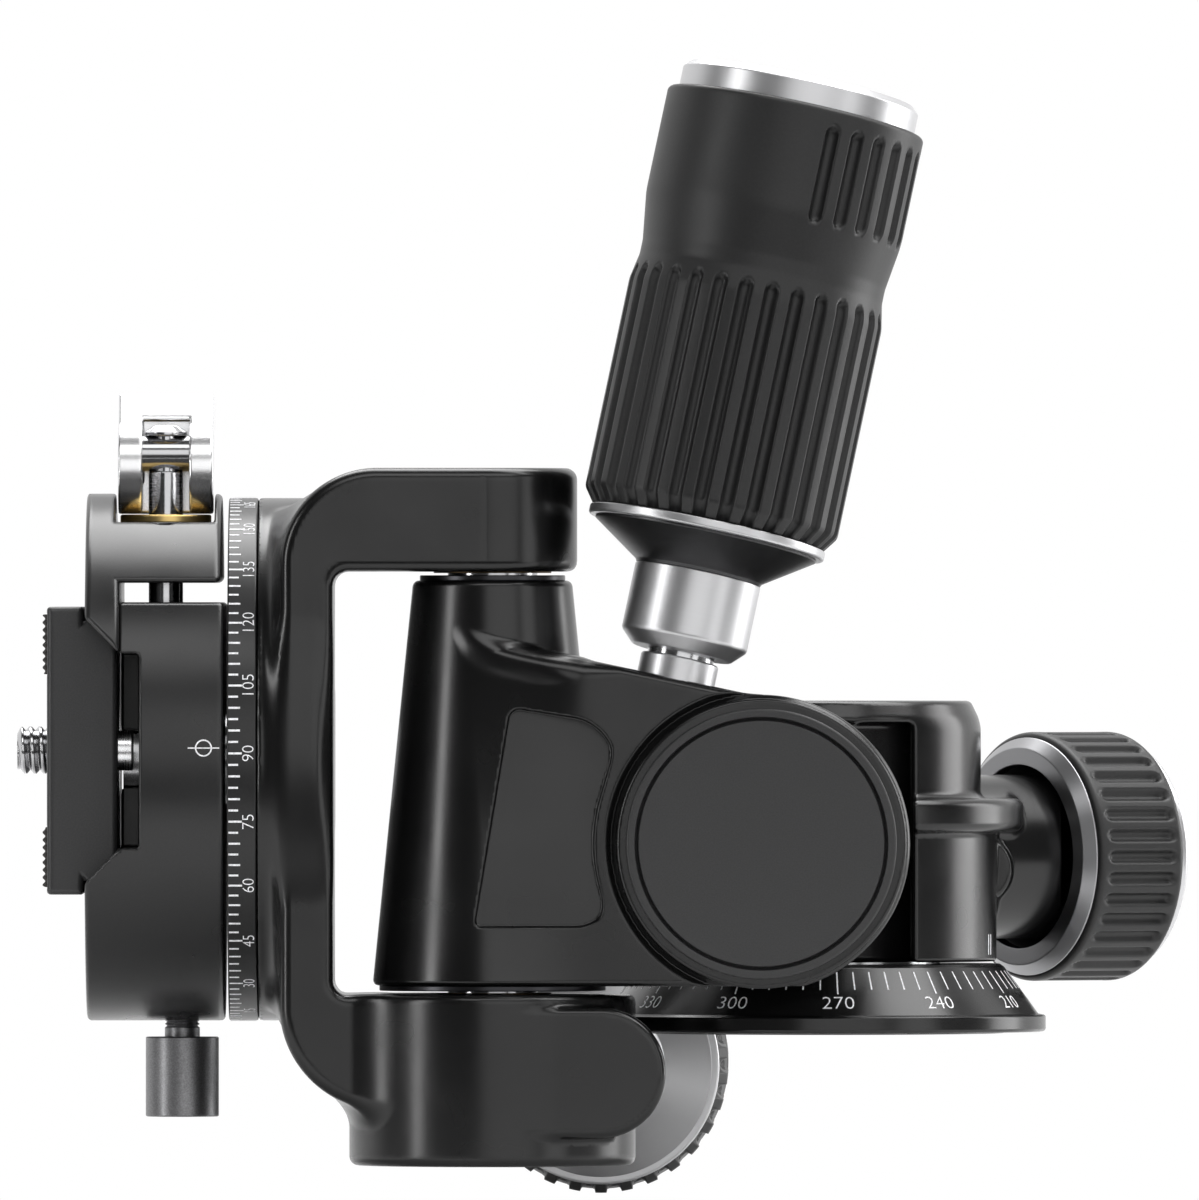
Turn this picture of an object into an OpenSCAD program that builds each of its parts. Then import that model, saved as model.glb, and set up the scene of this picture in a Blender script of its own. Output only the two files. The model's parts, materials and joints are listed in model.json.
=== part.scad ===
// Four-way tripod head: pan, tilt and roll with lock handles, and a panning dovetail clamp on top.
// Millimetres. The origin is the centre of the base's underside, with +Z along the pan axis.
// The head is drawn folded: the arm hangs to the side, so the camera plate faces -X.

/* [Base] */
// Radius of the base rim
base_r = 30; // [28:0.5:32]
// Height of the straight base rim
base_rim_h = 2.4; // [1.5:0.1:3]
// Radius of the dial cone where it starts above the rim
dial_low_r = 29; // [28.2:0.1:29.5]
// Radius of the dial cone at its top
dial_top_r = 24.4; // [24:0.1:26]
// Height of the whole base
base_h = 9.3; // [8.8:0.1:9.6]
// Radius of the seat under the base that meets the tripod
base_seat_r = 24.4; // [22:0.1:24.8]
// Height of the seat over the rim's underside
base_seat_h = 0.2; // [0.1:0.05:0.4]
// Radius of the tripod thread
tripod_thread_r = 3.97; // [3:0.01:4.2]
// Outer radius of the threaded insert in the base
insert_r = 7; // [6:0.1:7.4]
// Circle radius of the base screws
base_screw_circle_r = 12; // [11.5:0.1:12.5]
// Shank radius of the base screws
base_screw_r = 1.75; // [1.4:0.05:2]
// Number of base screws
base_screw_count = 3; // [3:1:4]

/* [Pan housing] */
// Radius of the pan post
post_r = 9; // [8:0.1:9.5]
// Radius of the foot of the pan post
post_foot_r = 16; // [15:0.1:16.5]
// Height of the foot of the pan post
post_foot_h = 2.8; // [2.4:0.1:3.2]
// Wall of the pan bush
pan_bush_wall = 2.5; // [2:0.1:3]
// Height of the top of the pan post
post_top = 33; // [32:0.1:34]
// Radius of the housing below its flange
housing_low_r = 23.4; // [23:0.1:24]
// Radius of the housing flange
housing_flange_r = 27; // [26:0.1:27.5]
// Radius of the housing above its flange
housing_up_r = 21.3; // [21:0.1:22]
// Height of the underside of the housing flange
flange_z = 27; // [26:0.1:28]
// Thickness of the housing flange
flange_t = 4.4; // [3:0.1:5]
// Height of the housing top
housing_top = 44.5; // [43.5:0.1:45]
// Height of the chamfer at the housing top
housing_chamfer_h = 2.9; // [2:0.1:3]
// Width of the chamfer at the housing top
housing_chamfer_w = 1.4; // [1:0.1:2]
// Distance from the pan axis to the flat that faces the arm
housing_flat = 20.5; // [20:0.1:21]
// Right end of the flat, measured from the pan axis
housing_flat_end = 12; // [11.5:0.1:12.5]
// Radius of the round pad that carries the tilt shaft on the housing's flat
tilt_pad_r = 15.5; // [15:0.1:16]
// Distance from the pan axis to the deeper flat around the pad
housing_relief = 16.3; // [15.8:0.1:17]
// Height where the deeper flat starts
housing_relief_z = 13.2; // [13:0.1:14]
// Radius of the cover on top of the housing
housing_cover_r = 15; // [14.5:0.1:16]
// Thickness of the cover on top of the housing
housing_cover_t = 1.8; // [1.5:0.1:2.2]

/* [Pan lock knob] */
// Direction of the knob axis around the pan axis, degrees from +X
pan_knob_angle = 35.5; // [33:0.5:38]
// Height of the knob axis
pan_knob_z = 23.5; // [23:0.1:24.5]
// Distance from the pan axis to the inner face of the knob
pan_knob_start = 32.6; // [32:0.1:34]
// Radius of the knob grip
pan_knob_r = 16.75; // [16:0.05:17.5]
// Length of the knob grip
pan_knob_len = 14; // [13:0.1:16]
// Radius of the neck that carries the knob
pan_neck_r = 11; // [10:0.1:11.5]
// Radius of the recess in the knob's inner face
pan_knob_recess_r = 12.3; // [12:0.1:12.8]
// Depth of the recess in the knob's inner face
pan_knob_recess = 3; // [2:0.1:4]
// Thread radius of the knob screw
pan_screw_r = 4; // [3:0.1:4.5]
// Radius of the brake plug inside the neck
pan_plug_r = 3; // [2.5:0.1:3.2]
// Number of grooves around the knob grip
pan_knob_grooves = 36; // [24:1:40]

/* [Tilt joint] */
// X of the tilt axis
tilt_x = -8.27; // [-9:0.01:-7.5]
// Height of the tilt axis
tilt_z = 25.6; // [25.4:0.05:25.8]
// Radius of the tilt shaft
tilt_shaft_r = 7; // [6:0.1:7.2]
// Distance from the pan axis to the buried end of the tilt shaft
tilt_shaft_in = 13.6; // [13.4:0.1:14.5]
// Wall of the tilt bush
tilt_bush_wall = 2; // [1.5:0.1:2.5]
// Radius of the round end of the arm
arm_end_r = 19.8; // [19.3:0.1:20]
// Radius of the raised boss at the tilt joint
tilt_boss_r = 19.3; // [18.8:0.1:19.3]
// Height of the raised boss over the arm front
tilt_boss_h = 1.2; // [0.8:0.1:1.6]
// Radius of the tilt cap
tilt_cap_r = 18; // [17:0.1:18.4]
// Height of the tilt cap over the boss
tilt_cap_h = 0.9; // [0.6:0.1:1.2]
// Depth of the tilt bush's seat behind the arm front
tilt_seat_depth = 4.6; // [4.4:0.1:5]
// Radius of the hollow behind the tilt cap
tilt_hollow_r = 13; // [12.5:0.1:13.5]

/* [Tilt arm] */
// Distance from the pan axis to the back of the arm plate
arm_back = 25.3; // [25.2:0.1:25.6]
// Distance from the pan axis to the back of the arm's round end, where it passes the base
arm_end_back = 27.6; // [27.2:0.1:28]
// Distance from the pan axis to the front of the arm plate
arm_front = 37.5; // [37:0.1:38]
// X of the roll axis
roll_x = -44.07; // [-45:0.01:-44]
// Y of the roll axis
roll_y = -22.5; // [-23:0.1:-22.4]
// Radius of the roll sleeve at its top
sleeve_top_r = 10.6; // [10:0.1:11]
// Radius of the roll sleeve at its bottom
sleeve_low_r = 16; // [15:0.1:16.5]
// Height of the bottom of the roll sleeve
sleeve_z = 6.6; // [6.5:0.1:6.8]
// Height of the top of the roll sleeve
sleeve_top = 60.6; // [60:0.1:61]
// Height of the arm's sloping top edge where it crosses the roll axis
arm_shoulder_z = 54.6; // [53:0.1:55.5]
// Slope of the arm's top edge, degrees
arm_slope = 15.7; // [14:0.1:17]
// Distance from the roll axis to the recess's upper left corner, to the right
recess_top_left = 2.4; // [1.5:0.1:3]
// Distance from the roll axis to the recess's lower left corner, to the left
recess_low_left = 2.4; // [1.5:0.1:3]
// Distance from the roll axis to the recess's right edge
recess_right = 16.4; // [15.5:0.1:17]
// Height of the recess's upper edge
recess_top = 43.7; // [42:0.1:44.5]
// Height of the recess's lower edge
recess_low = 14.5; // [13:0.1:16]
// Size of the cut corners at the recess's right edge
recess_corner = 5; // [3:0.5:6]
// Depth of the blank plate recess in the arm front
plate_recess = 0.8; // [0.5:0.1:1]
// Radius of the roll shaft
roll_shaft_r = 6; // [5:0.1:6.5]

/* [Handles] */
// X of the tilt handle's ferrule
tilt_handle_x = -18.9; // [-19.5:0.1:-18.5]
// Y of the tilt handle's axis
tilt_handle_y = -31; // [-31.5:0.1:-30.5]
// Height of the tilt handle's ferrule
tilt_handle_z = 50.9; // [50.7:0.1:52]
// Lean of the tilt handle from the vertical, degrees
tilt_handle_lean = 12; // [11:0.5:13]
// Lean of the tilt handle away from the viewer, degrees
tilt_handle_back = 4.5; // [0:0.5:5]
// Radius of a handle's ferrule
ferrule_r = 8.5; // [8:0.1:9]
// Length of the straight part of a ferrule
ferrule_len = 10.7; // [10:0.1:12]
// Height of the cone above a ferrule
ferrule_cone_h = 5.1; // [4.5:0.1:6]
// Radius of the flange and the end cap of a handle
handle_flange_r = 16; // [15:0.1:16.5]
// Thickness of a handle's flange
handle_flange_t = 1.3; // [1:0.1:2]
// Radius of the lower section of a grip
grip_low_r = 17.2; // [16.8:0.1:17.6]
// Radius of a grip's waist
grip_waist_r = 16.4; // [16:0.1:16.7]
// Radius of the upper section of a grip
grip_up_r = 17.4; // [17:0.1:17.8]
// Length of a grip's lower section
grip_low_len = 34; // [32:0.5:36]
// Length of a whole grip
grip_len = 56.9; // [55:0.1:58]
// Thickness of a handle's end cap
handle_cap_t = 3.8; // [3:0.1:4]
// Number of long grooves around a grip
grip_grooves = 30; // [20:1:36]
// Radius of a long groove
groove_r = 0.95; // [0.7:0.05:1.1]
// Radius of a handle's rod
rod_r = 4.5; // [4:0.1:4.55]
// X of the roll handle's axis
roll_handle_x = -29.6; // [-30:0.1:-29.2]
// Height of the roll handle's axis
roll_handle_z = -4.9; // [-5.2:0.1:-4.8]
// Y where the roll handle's ferrule starts
roll_handle_y = 21.5; // [21:0.1:23]

/* [Roll fork] */
// Distance from the pan axis to the face of the fork's round seat
fork_reach = 75.5; // [74:0.5:80]
// Distance from the seat's face back to the outer side of the fork's web
web_inset = 3.1; // [2.5:0.1:3.8]
// Thickness of the fork's web
web_t = 7.3; // [6.5:0.1:8]
// Half width of the fork's bars
fork_half_w = 11.3; // [10.8:0.1:11.4]
// Height of the upper bar
upper_bar_h = 14; // [13:0.1:15]
// Outer corner radius at the top of the fork
fork_top_round = 13; // [10:0.5:14]
// Outer corner radius at the bottom of the fork
fork_low_round = 14; // [10:0.5:15]
// Height of the lower bar's underside
low_bar_z = -10; // [-11:0.1:-9]
// Inner corner radius of the fork
fork_inner_round = 1.8; // [1:0.1:3]
// Radius of the lower fork barrel
barrel_r = 19.1; // [18.5:0.1:19.2]
// Height of the underside of the lower fork barrel
barrel_z = -17.4; // [-18:0.1:-16.5]
// Radius of the round end of the clamp lug
lug_r = 8.65; // [8:0.05:9]
// Distance from the pan axis to the front of the clamp lug
lug_front = 40.5; // [40:0.1:41]
// Distance from the pan axis to the back of the clamp lug
lug_back = 32.5; // [32:0.1:34]
// Width of the slit in the lower fork barrel
slit_w = 1.2; // [0.8:0.1:1.6]
// Thickness of the washers at the roll sleeve
roll_washer_t = 0.7; // [0.6:0.1:0.8]
// Wall of the roll bushes
roll_bush_wall = 1.8; // [1.5:0.1:2]

/* [Panning clamp] */
// Height of the clamp's turning axis
clamp_z = 36.67; // [36.5:0.01:36.8]
// Radius of the clamp, its scale ring and its seat on the fork
clamp_r = 35; // [34.5:0.1:35.5]
// Thickness of the fork's round seat
seat_t = 8; // [5:0.1:8.5]
// Thickness of the scale ring
scale_t = 3.9; // [3:0.1:4.2]
// Running gap between the scale ring and the clamp
scale_gap = 0.5; // [0.3:0.1:0.7]
// Thickness of the clamp body with its fixed jaw
clamp_t = 18.5; // [18:0.1:19]
// Height of the fixed jaw over the plate seat
jaw_rise = 4.6; // [4.2:0.1:5]
// Depth of the channel below the plate seat, on both sides of the spindle's head
channel_depth = 2.7; // [2.4:0.1:3]
// Half width of the channel
channel_half_w = 13; // [12:0.1:13.5]
// Height of the flat that the moving jaw slides on
clamp_flat_z = 57.7; // [57.4:0.1:58]
// Radius of the clamp spindle
spindle_r = 6; // [5:0.1:6.5]
// Wall of the clamp bush
clamp_bush_wall = 2.5; // [2:0.1:3]

/* [Moving jaw and lever] */
// Height of the jaw's sliding face
jaw_low_z = 60.3; // [60.1:0.1:60.8]
// Height of the jaw's top
jaw_top_z = 72.5; // [72:0.1:73]
// Radius of the moving jaw's round outline
jaw_r = 35.8; // [35.5:0.1:36]
// Height of the slot floor for the lever
jaw_slot_z = 68.4; // [68:0.1:69]
// Distance from the clamp's inner face to the lever's middle plane
lever_at = 8; // [7.7:0.1:8.3]
// Width of the lever over both ears
lever_w = 12.7; // [12:0.1:13]
// Thickness of one ear of the lever
ear_t = 3.2; // [2.8:0.1:3.4]
// Height of the lever's pivot
lever_pivot_z = 77.6; // [77.4:0.1:78]
// Eccentricity of the cam on the lever
cam_offset = 2; // [1.8:0.1:2.2]
// Height of the top of the lever
lever_top_z = 85.7; // [85:0.1:86.5]
// Height of the slanted front at the top of the lever
lever_slant_h = 6.4; // [6:0.1:6.6]
// Length of the lever behind its pivot
lever_len = 34; // [28:0.5:40]
// Radius of the barrel pin that the lever turns on
barrel_pin_r = 2.4; // [2.2:0.05:2.6]
// Radius of the draw bolt
draw_bolt_r = 2.3; // [2:0.1:2.4]
// Thickness of the brass cam washer
cam_washer_t = 1.05; // [0.8:0.05:1.2]
// Radius of the brass cam washer
cam_washer_r = 6.1; // [5.6:0.05:6.3]
// Radius of the jaw guide pins
guide_pin_r = 2; // [1.8:0.1:2.2]
// Distance of the guide pins from the middle of the jaw
guide_pin_y = 15; // [13:0.5:16]

/* [Clamp lock knob] */
// Distance from the clamp's inner face to the lock knob's axis
lock_knob_at = 5.8; // [5.6:0.1:6.1]
// Radius of the lock knob
lock_knob_r = 4.9; // [4.4:0.1:5]
// Height of the lock knob's top
lock_knob_top = -0.5; // [-1:0.1:-0.2]
// Length of the lock knob
lock_knob_len = 10.7; // [10:0.1:12]
// Radius of the lock knob's threaded stem
lock_stem_r = 2.35; // [2:0.05:2.6]

/* [Camera plate] */
// Width of the camera plate across its dovetail
plate_w = 38.4; // [38:0.1:38.8]
// Height of the middle of the camera plate
plate_z = 37.9; // [37.8:0.1:38]
// Thickness of the camera plate
plate_t = 9.4; // [9:0.1:10]
// Length of the camera plate
plate_len = 50; // [46:1:60]
// Depth of the grooves in the plate's sides
plate_groove = 2.3; // [2:0.1:2.5]
// Distance from the plate's clamp face to the bottom of its side grooves
plate_groove_at = 4.6; // [4.4:0.1:4.8]
// Thickness of the rubber pads
pad_t = 1.1; // [0.8:0.1:1.4]
// Height of the pads over the plate
pad_rise = 0.6; // [0.4:0.1:0.8]
// Width of a rubber pad
pad_w = 8; // [7:0.1:8.5]
// Thread radius of the camera screw
camera_screw_r = 3.175; // [2.5:0.005:3.2]
// Length of the camera screw over the plate
camera_screw_len = 4.3; // [4:0.1:5.5]
// Radius of the camera screw's head
camera_head_r = 6; // [5.5:0.1:6.5]
// Distance of the stop screws from the middle of the plate
stop_screw_y = 21; // [19:0.5:22]

/* [Fits] */
// Radial clearance of a fixed seat
fit = 0.02; // [0.01:0.01:0.04]
// Radial clearance of a running shaft
run = 0.05; // [0.03:0.01:0.08]
// Gap between pieces that pass each other
gap = 0.3; // [0.25:0.05:0.4]

/* [Hidden] */
$fn = 96;
// Overshoot of a cut past a face
over = 1;
// Radial steps and thin lips shared by several pieces
lip = 1.2;

// Pan: the bush stands between the post and the housing
pan_bush_r = post_r + run + pan_bush_wall;
foot_top = base_h + post_foot_h;
housing_z = base_h + gap;
housing_floor = foot_top + gap;
retainer_r = pan_bush_r + lip;
retainer_t = 2.2;
retainer_head_r = 5;
retainer_head_h = 3.4;
retainer_screw_r = 3;
retainer_depth = 12;
housing_bore_top = housing_top - housing_cover_t;
lid_z = housing_top - housing_chamfer_h;

// Pan lock knob, measured out from the pan axis
plug_in = post_r + gap;
plug_out = pan_bush_r + 4;
neck_end = pan_knob_start + pan_knob_recess - gap;
pan_core_r = 9;
pan_ring_t = 1.6;
pan_ring_r = pan_knob_r - 0.75;
pan_knob_end = pan_knob_start + pan_ring_t + pan_knob_len;
pan_cap_t = 2;
pan_core_z = pan_knob_start + pan_knob_recess;
neck_boss_r = 4.6;
neck_boss_x = 20.9;
neck_boss_y = 2.5;
neck_boss_z = pan_knob_z - 1.7;
neck_boss_len = 10;

// Tilt joint, measured out from the pan axis towards the viewer
tilt_bush_r = tilt_shaft_r + run + tilt_bush_wall;
arm_rear_boss_r = 14;
tilt_seat = arm_front - tilt_seat_depth;
tilt_shaft_out = tilt_seat + gap;
tilt_washer_t = 1.6;
tilt_washer_r = tilt_hollow_r - lip;
tilt_head_r = 4;
tilt_head_h = 1.5;
tilt_screw_r = 2.5;
tilt_screw_depth = 10;
boss_front = arm_front + tilt_boss_h;
recess_margin = 3;
recess_fall = 1.4;
cap_spigot = 1.4;

// Roll joint
fork_x = web_inset - fork_reach;
web_inner_x = fork_x + web_t;
washer_inset = 0.9;
fork_up_z = sleeve_top + roll_washer_t + gap;
fork_low_z = sleeve_z - roll_washer_t - gap;
upper_bar_top = fork_up_z + upper_bar_h;
roll_bush_r = roll_shaft_r + run + roll_bush_wall;
roll_cover_t = 1.6;
roll_cover_r = roll_bush_r + lip / 2;
roll_shaft_top = upper_bar_top - roll_cover_t - 2 * gap;
roll_shaft_low = barrel_z + roll_cover_t + 2 * gap;

// Handles, measured along the handle from the ferrule's end
flange_start = ferrule_len + ferrule_cone_h;
grip_start = flange_start + handle_flange_t;
grip_end = grip_start + grip_len;
handle_core_r = 9;
ferrule_chamfer = 2;
rod_in = 28;
tilt_rod_out = 12;
collar_r = rod_r + 0.75;
collar_out = 7;
collar_gap = 0.8;
roll_rod_out = roll_handle_y + lug_front - 2.5;

// Panning clamp, measured out from the pan axis towards the camera
seat_out = fork_reach;
scale_out = seat_out + scale_t;
clamp_in = scale_out + scale_gap;
clamp_out = clamp_in + clamp_t;
lever_x = -clamp_in - lever_at;
lock_knob_x = -clamp_in - lock_knob_at;
plate_seat = clamp_out - jaw_rise;
channel_floor = plate_seat - channel_depth;
spindle_boss_r = 14;
spindle_in = -web_inner_x + 1;
spindle_head_r = 9;
spindle_head_in = 2.9;
clamp_bush_r = spindle_r + run + clamp_bush_wall;
spindle_head_at = channel_floor - spindle_head_in;
ring_screw_circle_r = 24;
ring_screw_r = 1.5;
ring_screw_head_h = 1.6;

// Camera plate, measured out from the pan axis towards the camera
plate_gap = 0.3;
plate_in = plate_seat + plate_gap;
plate_out = plate_in + plate_t;
plate_low = plate_z - plate_w / 2;
plate_high = plate_z + plate_w / 2;
groove_out = plate_in + plate_groove_at;
jaw_tip_deep = plate_groove_at + plate_gap - (clamp_out - plate_seat);
jaw_clear = gap * 1.4;
jaw_tip = plate_groove - jaw_tip_deep - jaw_clear;
camera_head_t = 2.4;
camera_neck_r = camera_screw_r - gap;
stop_head_r = 2.65;
stop_head_h = 2.1;
stop_shank_r = 1.5;
stop_shank_len = 5;

// Moving jaw and lever
bolt_in = 9;
cam_top = jaw_slot_z + cam_washer_t;
cam_reach = lever_pivot_z - cam_top - gap;
cam_r = cam_reach - cam_offset;
bolt_top = lever_pivot_z + barrel_pin_r;
bolt_neck_r = draw_bolt_r - 0.8;
bolt_head_r = 2.8;
bolt_head_h = 1.7;
paddle_start = 5.6;
slant_z = lever_top_z - lever_slant_h;
pin_in_clamp = 14;

// Local frames

// Local +Z points at the viewer, along the tilt axis
module at_tilt() {
    translate([tilt_x, 0, tilt_z]) rotate([90, 0, 0]) children();
}

// A drawing in X and Z, pulled towards the viewer between two distances from the pan axis
module front_slab(near, far) {
    translate([0, -near, 0]) rotate([90, 0, 0]) linear_extrude(far - near) children();
}

// Local +Z is the roll axis
module at_roll() {
    translate([roll_x, roll_y, 0]) children();
}

// Local +Z points out of the clamp, towards the camera
module at_clamp() {
    translate([0, 0, clamp_z]) rotate([0, -90, 0]) children();
}

// Local +Z points out along the pan lock knob
module at_pan_knob() {
    rotate([0, 0, pan_knob_angle]) translate([0, 0, pan_knob_z]) rotate([0, 90, 0]) children();
}

// Local +Z runs back into the neck from the small boss on its front
module at_neck_boss() {
    translate([neck_boss_x, neck_boss_y, neck_boss_z]) rotate([-90, 0, 0]) children();
}

// Local +Z runs along the tilt handle from its ferrule
module at_tilt_handle() {
    translate([tilt_handle_x, tilt_handle_y, tilt_handle_z]) rotate([-tilt_handle_back, tilt_handle_lean, 0]) children();
}

// Local +Z runs along the roll handle from its ferrule
module at_roll_handle() {
    translate([roll_handle_x, roll_handle_y, roll_handle_z]) rotate([-90, 0, 0]) children();
}

// Shapes that repeat

// A cylinder between two heights
module rod(r, low, high) {
    translate([0, 0, low]) cylinder(r = r, h = high - low);
}

// A tube between two heights
module tube(r_out, r_in, low, high) {
    difference() {
        rod(r_out, low, high);
        rod(r_in, low - over, high + over);
    }
}

// A disc with a chamfer at its top edge
module capped_disc(r, low, high, bevel) {
    rod(r, low, high - bevel);
    translate([0, 0, high - bevel]) cylinder(r1 = r, r2 = r - bevel, h = bevel);
}

// Base

module base_screw_places() {
    for (i = [0 : base_screw_count - 1])
        rotate([0, 0, 60 + i * 360 / base_screw_count])
            translate([base_screw_circle_r, 0, 0]) children();
}

// A countersunk screw that stands on its head, grown by a clearance
module base_screw(grow) {
    head_r = base_screw_r * 1.9;
    sink = 0.3;
    rod(base_screw_r + grow, sink, foot_top - 0.4 + grow);
    translate([0, 0, sink])
        cylinder(r1 = head_r + grow, r2 = base_screw_r + grow, h = head_r - base_screw_r);
}

module base_plate() color("#151517") difference() {
    edge = 0.4;
    rotate_extrude() polygon([
        [0, 0], [base_seat_r, 0], [base_seat_r, base_seat_h], [base_r - edge, base_seat_h],
        [base_r, base_seat_h + edge], [base_r, base_rim_h - edge], [base_r - edge, base_rim_h],
        [dial_low_r, base_rim_h + base_seat_h], [dial_top_r, base_h - 2 * edge],
        [dial_top_r - 2 * edge, base_h], [0, base_h]
    ]);
    rod(insert_r + fit, -over, base_h + over);
    base_screw_places() base_screw(fit);
    base_screw_places() rod(base_screw_r * 1.9 + fit, -over, 0.3);
}

module tripod_insert() color("#8f8f92") tube(insert_r, tripod_thread_r, 0, base_h - gap);

module pan_post() color("#9a9a9d") difference() {
    union() {
        rod(post_foot_r, base_h, foot_top);
        rod(post_r, base_h, post_top);
    }
    rod(retainer_screw_r + fit, post_top - retainer_depth - over, post_top + over);
    base_screw_places() base_screw(fit);
}

module base_screws() color("#55565a") base_screw_places() base_screw(0);

module pan_retainer() color("#a9a9ac")
    tube(retainer_r, retainer_screw_r + fit, post_top, post_top + retainer_t);

module pan_retainer_screw() color("#55565a") {
    rod(retainer_screw_r, post_top - retainer_depth, post_top + retainer_t);
    rod(retainer_head_r, post_top + retainer_t, post_top + retainer_t + retainer_head_h);
}

// Pan housing

module housing_solid() {
    flange_top = flange_z + flange_t;
    edge = 1;
    rotate_extrude() polygon([
        [0, housing_z], [housing_low_r - edge / 2, housing_z], [housing_low_r, housing_z + edge / 2],
        [housing_low_r, flange_z], [housing_flange_r - edge, flange_z],
        [housing_flange_r, flange_z + edge], [housing_flange_r, flange_top - edge],
        [housing_flange_r - edge, flange_top], [housing_up_r, flange_top],
        [housing_up_r, lid_z], [housing_up_r - housing_chamfer_w, housing_top], [0, housing_top]
    ]);
    at_pan_knob() rod(pan_neck_r, pan_bush_r, neck_end);
    at_neck_boss() rod(neck_boss_r, 0, neck_boss_len);
}

// The room in front of the flat, where the arm's boss turns
module arm_pocket() {
    reach = base_r + over;
    translate([-reach, -reach, housing_z - over])
        cube([reach + housing_flat_end, reach - housing_flat, lid_z - housing_z + over]);
    difference() {
        translate([-reach, -reach, housing_relief_z])
            cube([reach + housing_flat_end, reach - housing_relief, lid_z - housing_relief_z]);
        at_tilt() rod(tilt_pad_r, 0, reach);
    }
}

module pan_housing() color("#18181a") difference() {
    housing_solid();
    arm_pocket();
    rod(post_foot_r + gap, housing_z - over, housing_floor);
    rod(pan_bush_r + fit, housing_z, housing_top);
    rod(retainer_r + gap, post_top - gap, housing_bore_top);
    rod(housing_cover_r + fit, housing_bore_top, housing_top + over);
    at_tilt() rod(tilt_shaft_r + fit, tilt_shaft_in - fit, housing_flat + over);
    at_pan_knob() rod(pan_plug_r + fit, 0, neck_end);
    at_pan_knob() rod(pan_screw_r + run, plug_out, neck_end + over);
}

module pan_bush() color("#b08d57") difference() {
    tube(pan_bush_r, post_r + run, housing_floor, post_top - gap);
    at_pan_knob() rod(pan_plug_r + fit, 0, plug_out);
}

module pan_brake_plug() color("#b08d57") at_pan_knob() rod(pan_plug_r, plug_in, plug_out);

module housing_cover() color("#18181a") capped_disc(housing_cover_r, housing_bore_top, housing_top, 0.4);

module tilt_shaft() color("#9a9a9d") at_tilt() difference() {
    rod(tilt_shaft_r, tilt_shaft_in, tilt_shaft_out);
    rod(tilt_screw_r + fit, tilt_shaft_out - tilt_screw_depth - over, tilt_shaft_out + over);
}

module tilt_retainer() color("#a9a9ac") at_tilt()
    tube(tilt_washer_r, tilt_screw_r + fit, tilt_shaft_out, tilt_shaft_out + tilt_washer_t);

module tilt_retainer_screw() color("#55565a") at_tilt() {
    seat = tilt_shaft_out + tilt_washer_t;
    rod(tilt_screw_r, tilt_shaft_out - tilt_screw_depth, seat);
    rod(tilt_head_r, seat, seat + tilt_head_h);
}

// Pan lock knob

module pan_knob_core() color("#3a3a3d") at_pan_knob() {
    rod(pan_screw_r, plug_out + gap, pan_core_z + over);
    rod(pan_core_r, pan_core_z, pan_knob_end);
}

module pan_knob_ring() color("#c9c9cc") at_pan_knob() difference() {
    translate([0, 0, pan_knob_start]) cylinder(r1 = pan_ring_r - pan_ring_t, r2 = pan_ring_r, h = pan_ring_t);
    rod(pan_knob_recess_r, pan_knob_start - over, pan_core_z);
}

module pan_knob_grip() color("#1b1b1d") at_pan_knob() difference() {
    low = pan_knob_start + pan_ring_t;
    edge = 1;
    rotate_extrude() polygon([
        [0, low], [pan_knob_r - edge, low], [pan_knob_r, low + edge],
        [pan_knob_r, pan_knob_end - edge], [pan_knob_r - edge, pan_knob_end], [0, pan_knob_end]
    ]);
    rod(pan_core_r + fit, low - over, pan_knob_end + over);
    rod(pan_knob_recess_r, low - over, pan_core_z);
    for (i = [0 : pan_knob_grooves - 1])
        rotate([0, 0, i * 360 / pan_knob_grooves])
            translate([pan_knob_r + 0.1, 0, 0])
                rod(0.8, low + 2, pan_knob_end - 2);
}

module pan_knob_cap() color("#c9c9cc") at_pan_knob()
    capped_disc(pan_knob_r - lip, pan_knob_end, pan_knob_end + pan_cap_t, 1);

// Tilt arm

// The sleeve that turns on the roll shaft, up to a height
module sleeve(high) {
    share = (high - sleeve_z) / (sleeve_top - sleeve_z);
    at_roll() translate([0, 0, sleeve_z])
        cylinder(r1 = sleeve_low_r, r2 = sleeve_low_r + (sleeve_top_r - sleeve_low_r) * share, h = high - sleeve_z);
}

// The plate that joins the sleeve and the tilt boss, in front of the housing
module arm_web() {
    room = 200;
    intersection() {
        hull() {
            sleeve(sleeve_top - over, $fn = 48);
            at_tilt() translate([0, 0, arm_back]) cylinder(r = arm_end_r, h = arm_front - arm_back, $fn = 72);
        }
        translate([-room / 2, -room - arm_back, sleeve_z]) cube([room, room, room]);
        translate([roll_x, 0, arm_shoulder_z]) rotate([0, arm_slope, 0])
            translate([-room / 2, -room / 2, -room]) cube([room, room, room]);
    }
}

// The room behind the right half of the round end, where it passes the base's dial
module base_room() {
    room = 2 * (arm_end_r + over);
    intersection() {
        tube(arm_end_r + over, arm_rear_boss_r, arm_back - over, arm_end_back);
        translate([0, -room / 2, 0]) cube([room, room, room]);
    }
}

// Outline of the blank plate recess: a slanted left edge, and a right edge that follows the boss
module recess_outline() {
    right = roll_x + recess_right;
    difference() {
        polygon([
            [roll_x + recess_top_left, recess_top], [right - recess_corner, recess_top - recess_fall],
            [right, recess_top - recess_fall - recess_corner], [right, recess_low + recess_corner],
            [right - recess_corner, recess_low], [roll_x - recess_low_left, recess_low]
        ]);
        translate([tilt_x, tilt_z]) circle(r = tilt_boss_r + recess_margin);
    }
}

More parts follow.
